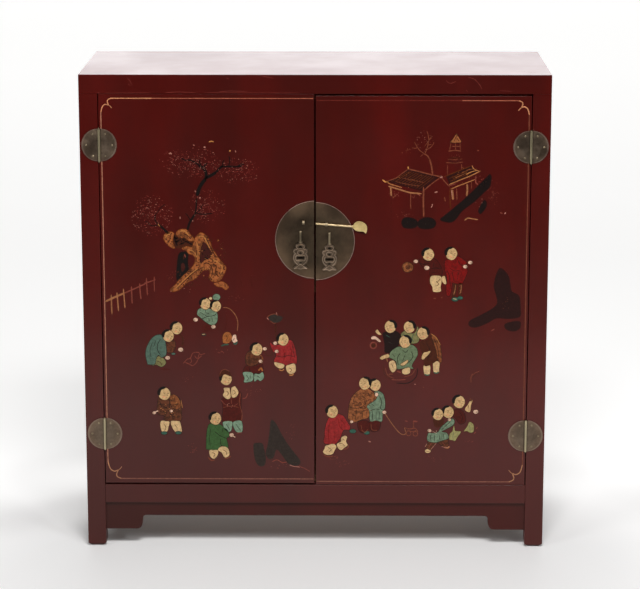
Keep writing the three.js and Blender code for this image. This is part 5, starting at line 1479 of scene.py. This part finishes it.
for side in SIDES:
    add_ridges(side)

# Nails in each hinge leaf: how far out from the hinge's line and up from its middle
NAIL_PLACES = [(11.5 * MM, 21 * MM), (11.5 * MM, -21 * MM), (24.5 * MM, 0)]
NAIL_RADIUS = 2.1 * MM
NAIL_HEIGHT = 0.65 * MM
NAIL_SEAT = 0.1 * MM
NAIL_SIDES = 14
NAIL_RINGS = 4


def nail_head(name, x, y, z, body):
    """A low domed nail head seated on a leaf's front."""
    vertices = []
    for ring in range(NAIL_RINGS + 1):
        rise = math.pi / 2 * ring / (NAIL_RINGS + 1)
        reach = NAIL_RADIUS * math.cos(rise)
        depth = y + NAIL_SEAT - (NAIL_SEAT + NAIL_HEIGHT) * math.sin(rise)
        vertices += [(x + reach * math.cos(t), depth, z + reach * math.sin(t)) for t in turns(NAIL_SIDES)]
    tip = len(vertices)
    vertices.append((x, y - NAIL_HEIGHT, z))
    faces = [list(range(NAIL_SIDES))]
    for first in range(0, tip, NAIL_SIDES):
        for i in range(NAIL_SIDES):
            a, b = first + i, first + (i + 1) % NAIL_SIDES
            top = first + NAIL_SIDES
            faces.append((a, b, b + NAIL_SIDES, a + NAIL_SIDES) if top < tip else (a, b, tip))
    add_mesh(name, vertices, faces, [materials["aged_brass"]], body).data.shade_smooth()


def add_nails(hinge):
    """The nails of one hinge, in its leaf on the door and its leaf on the frame."""
    level, side = hinge.split("_")[1:]
    outwards = -1 if side == "left" else 1
    line_x = middle_of(hinge + "_pin").x
    for leaf, body, way in (("door", side + "_door", -outwards), ("frame", "cabinet", outwards)):
        middle_z = middle_of(f"{hinge}_{leaf}_leaf").z
        for number, (out, up) in enumerate(NAIL_PLACES, 1):
            name = f"nail_{level}_{side}_{leaf}_{number}"
            nail_head(name, line_x + way * out, LEAF_FACE, middle_z + up, body)


for hinge in HINGES:
    add_nails(hinge)

# Studio: how far the floor runs, and its two pale tones
FLOOR_FRONT = -1.85
FLOOR_BACK = 14.0
FLOOR_HALF_WIDTH = 8.0
FLOOR_TONES = (rgb(0.915, 0.91, 0.905), rgb(0.935, 0.93, 0.925))

# Painted light: the floor glows, dim just in front of the cupboard where its shadow falls and brighter
# further off, by how far a place is from there: metres, strength
GLOW_MIDDLE = (0, -0.45, 0)
GLOW_REACH = 10.0
FLOOR_GLOW = [(0.0, 0.01), (0.45, 0.02), (0.6, 0.07), (0.7, 0.15), (0.82, 0.31), (1.1, 0.49), (2.0, 0.51)]
FLOOR_GLOW += [(3.1, 0.55), (4.1, 0.62), (5.5, 0.68), (7.3, 0.72), (10.0, 0.74)]
GLOW_TONE = rgb(1, 0.995, 0.985)

# Patches of painted light and painted shadow, where it glows more or less than that: x, y and the reach along
# each, in metres, and how much
GLOW_PATCHES = [
    (-0.44, 0.28, 0.22, 0.24, 0.27),
    (-0.47, 0.03, 0.1, 0.13, 0.15),
    (-0.66, 0.0, 0.24, 0.17, -0.17),
    (0.47, 0.22, 0.15, 0.15, 0.08),
    (0.75, 0.1, 0.25, 0.25, -0.14),
]

# Under the cupboard the painted light stops and leaves its shadow: where that starts and ends, by half widths
# and half depths
SHADE_ACROSS = (0.38, 0.46)
SHADE_DEEP = (0.1, 0.17)


def add_floor():
    mesh = bpy.data.meshes.new("floor")
    front = [(x, FLOOR_FRONT, 0) for x in (-FLOOR_HALF_WIDTH, FLOOR_HALF_WIDTH)]
    back = [(x, FLOOR_BACK, 0) for x in (FLOOR_HALF_WIDTH, -FLOOR_HALF_WIDTH)]
    mesh.from_pydata(front + back, [], [(0, 1, 2, 3)])
    floor = bpy.data.objects.new("floor", mesh)
    bpy.context.scene.collection.objects.link(floor)
    s = Shader("floor", IOR=1.3, Emission_Color=GLOW_TONE)
    s.colour(s.mix(s.noise(1.5), *FLOOR_TONES))
    s.roughness(0.7)
    # Painted light on the floor, with patches of painted shadow.
    reach = s.away(GLOW_MIDDLE, (1 / GLOW_REACH, 1 / GLOW_REACH, 0))
    glow = s.ramp(reach, [(distance / GLOW_REACH, level) for distance, level in FLOOR_GLOW])
    for x, y, x_reach, y_reach, strength in GLOW_PATCHES:
        inside = s.away((x, y, 0), (1 / x_reach, 1 / y_reach, 0))
        glow = s.maths("ADD", glow, s.spread(inside, 0.0, 1.0, strength, 0.0))
    across = s.spread(s.maths("ABSOLUTE", s.parts()["X"]), *SHADE_ACROSS)
    deep = s.spread(s.maths("ABSOLUTE", s.parts()["Y"]), *SHADE_DEEP)
    glow = s.maths("MULTIPLY", s.maths("MAXIMUM", glow, 0.0), s.maths("MAXIMUM", across, deep))
    s.put(s.surface.inputs["Emission Strength"], glow)
    mesh.materials.append(s.material)


# The studio's light by how far round to the back it comes from: a share of the way from straight in
# front to straight behind, and a brightness
ROOM_LIGHT = [(0.35, 0.01), (0.5, 0.04), (0.85, 0.15), (0.95, 0.415), (0.985, 1.26)]
ROOM_STRENGTH = 2.3
ROOM_SEEN = rgb(0.46, 0.457, 0.455)


def add_world():
    """Dim in front of the cupboard, bright low behind it, and pale where the camera sees past the floor."""
    world = bpy.data.worlds.new("studio")
    bpy.context.scene.world = world
    world.use_nodes = True
    graph = Graph(world.node_tree)
    where = graph.node("ShaderNodeTexCoord").outputs["Generated"]
    depth = graph.node("ShaderNodeSeparateXYZ", {0: where}).outputs["Y"]
    turn = graph.node("ShaderNodeMapRange", {"Value": depth, "From Min": -1}).outputs[0]
    seen = graph.node("ShaderNodeLightPath").outputs["Is Camera Ray"]
    background = graph.tree.nodes["Background"].inputs
    graph.put(background["Color"], graph.mix(seen, graph.ramp(turn, ROOM_LIGHT), ROOM_SEEN))
    graph.put(background["Strength"], ROOM_STRENGTH)


# Area lights: a name, the place and what it faces, width and height in metres, and power
LIGHTS = [
    ("right", (1.9, -2.9, 2.6), (0, 0, 0.3), (0.9, 0.9), 30),
    ("left", (-2.3, -2.6, 2.5), (0, 0, 0.3), (1.0, 1.0), 20),
    ("front", (0.2, -2.5, 3.3), (0, -0.5, 0), (1.2, 0.7), 99),
]


def add_area_light(name, place, aim, size, power):
    data = bpy.data.lights.new(name, "AREA")
    data.shape = "RECTANGLE"
    data.size, data.size_y = size
    data.energy = power
    light = bpy.data.objects.new(name, data)
    light.location = place
    light.rotation_euler = (Vector(aim) - Vector(place)).to_track_quat("-Z", "Y").to_euler()
    bpy.context.scene.collection.objects.link(light)


add_floor()
add_world()
for light in LIGHTS:
    add_area_light(*light)
bpy.context.scene.view_settings.view_transform = "Standard"
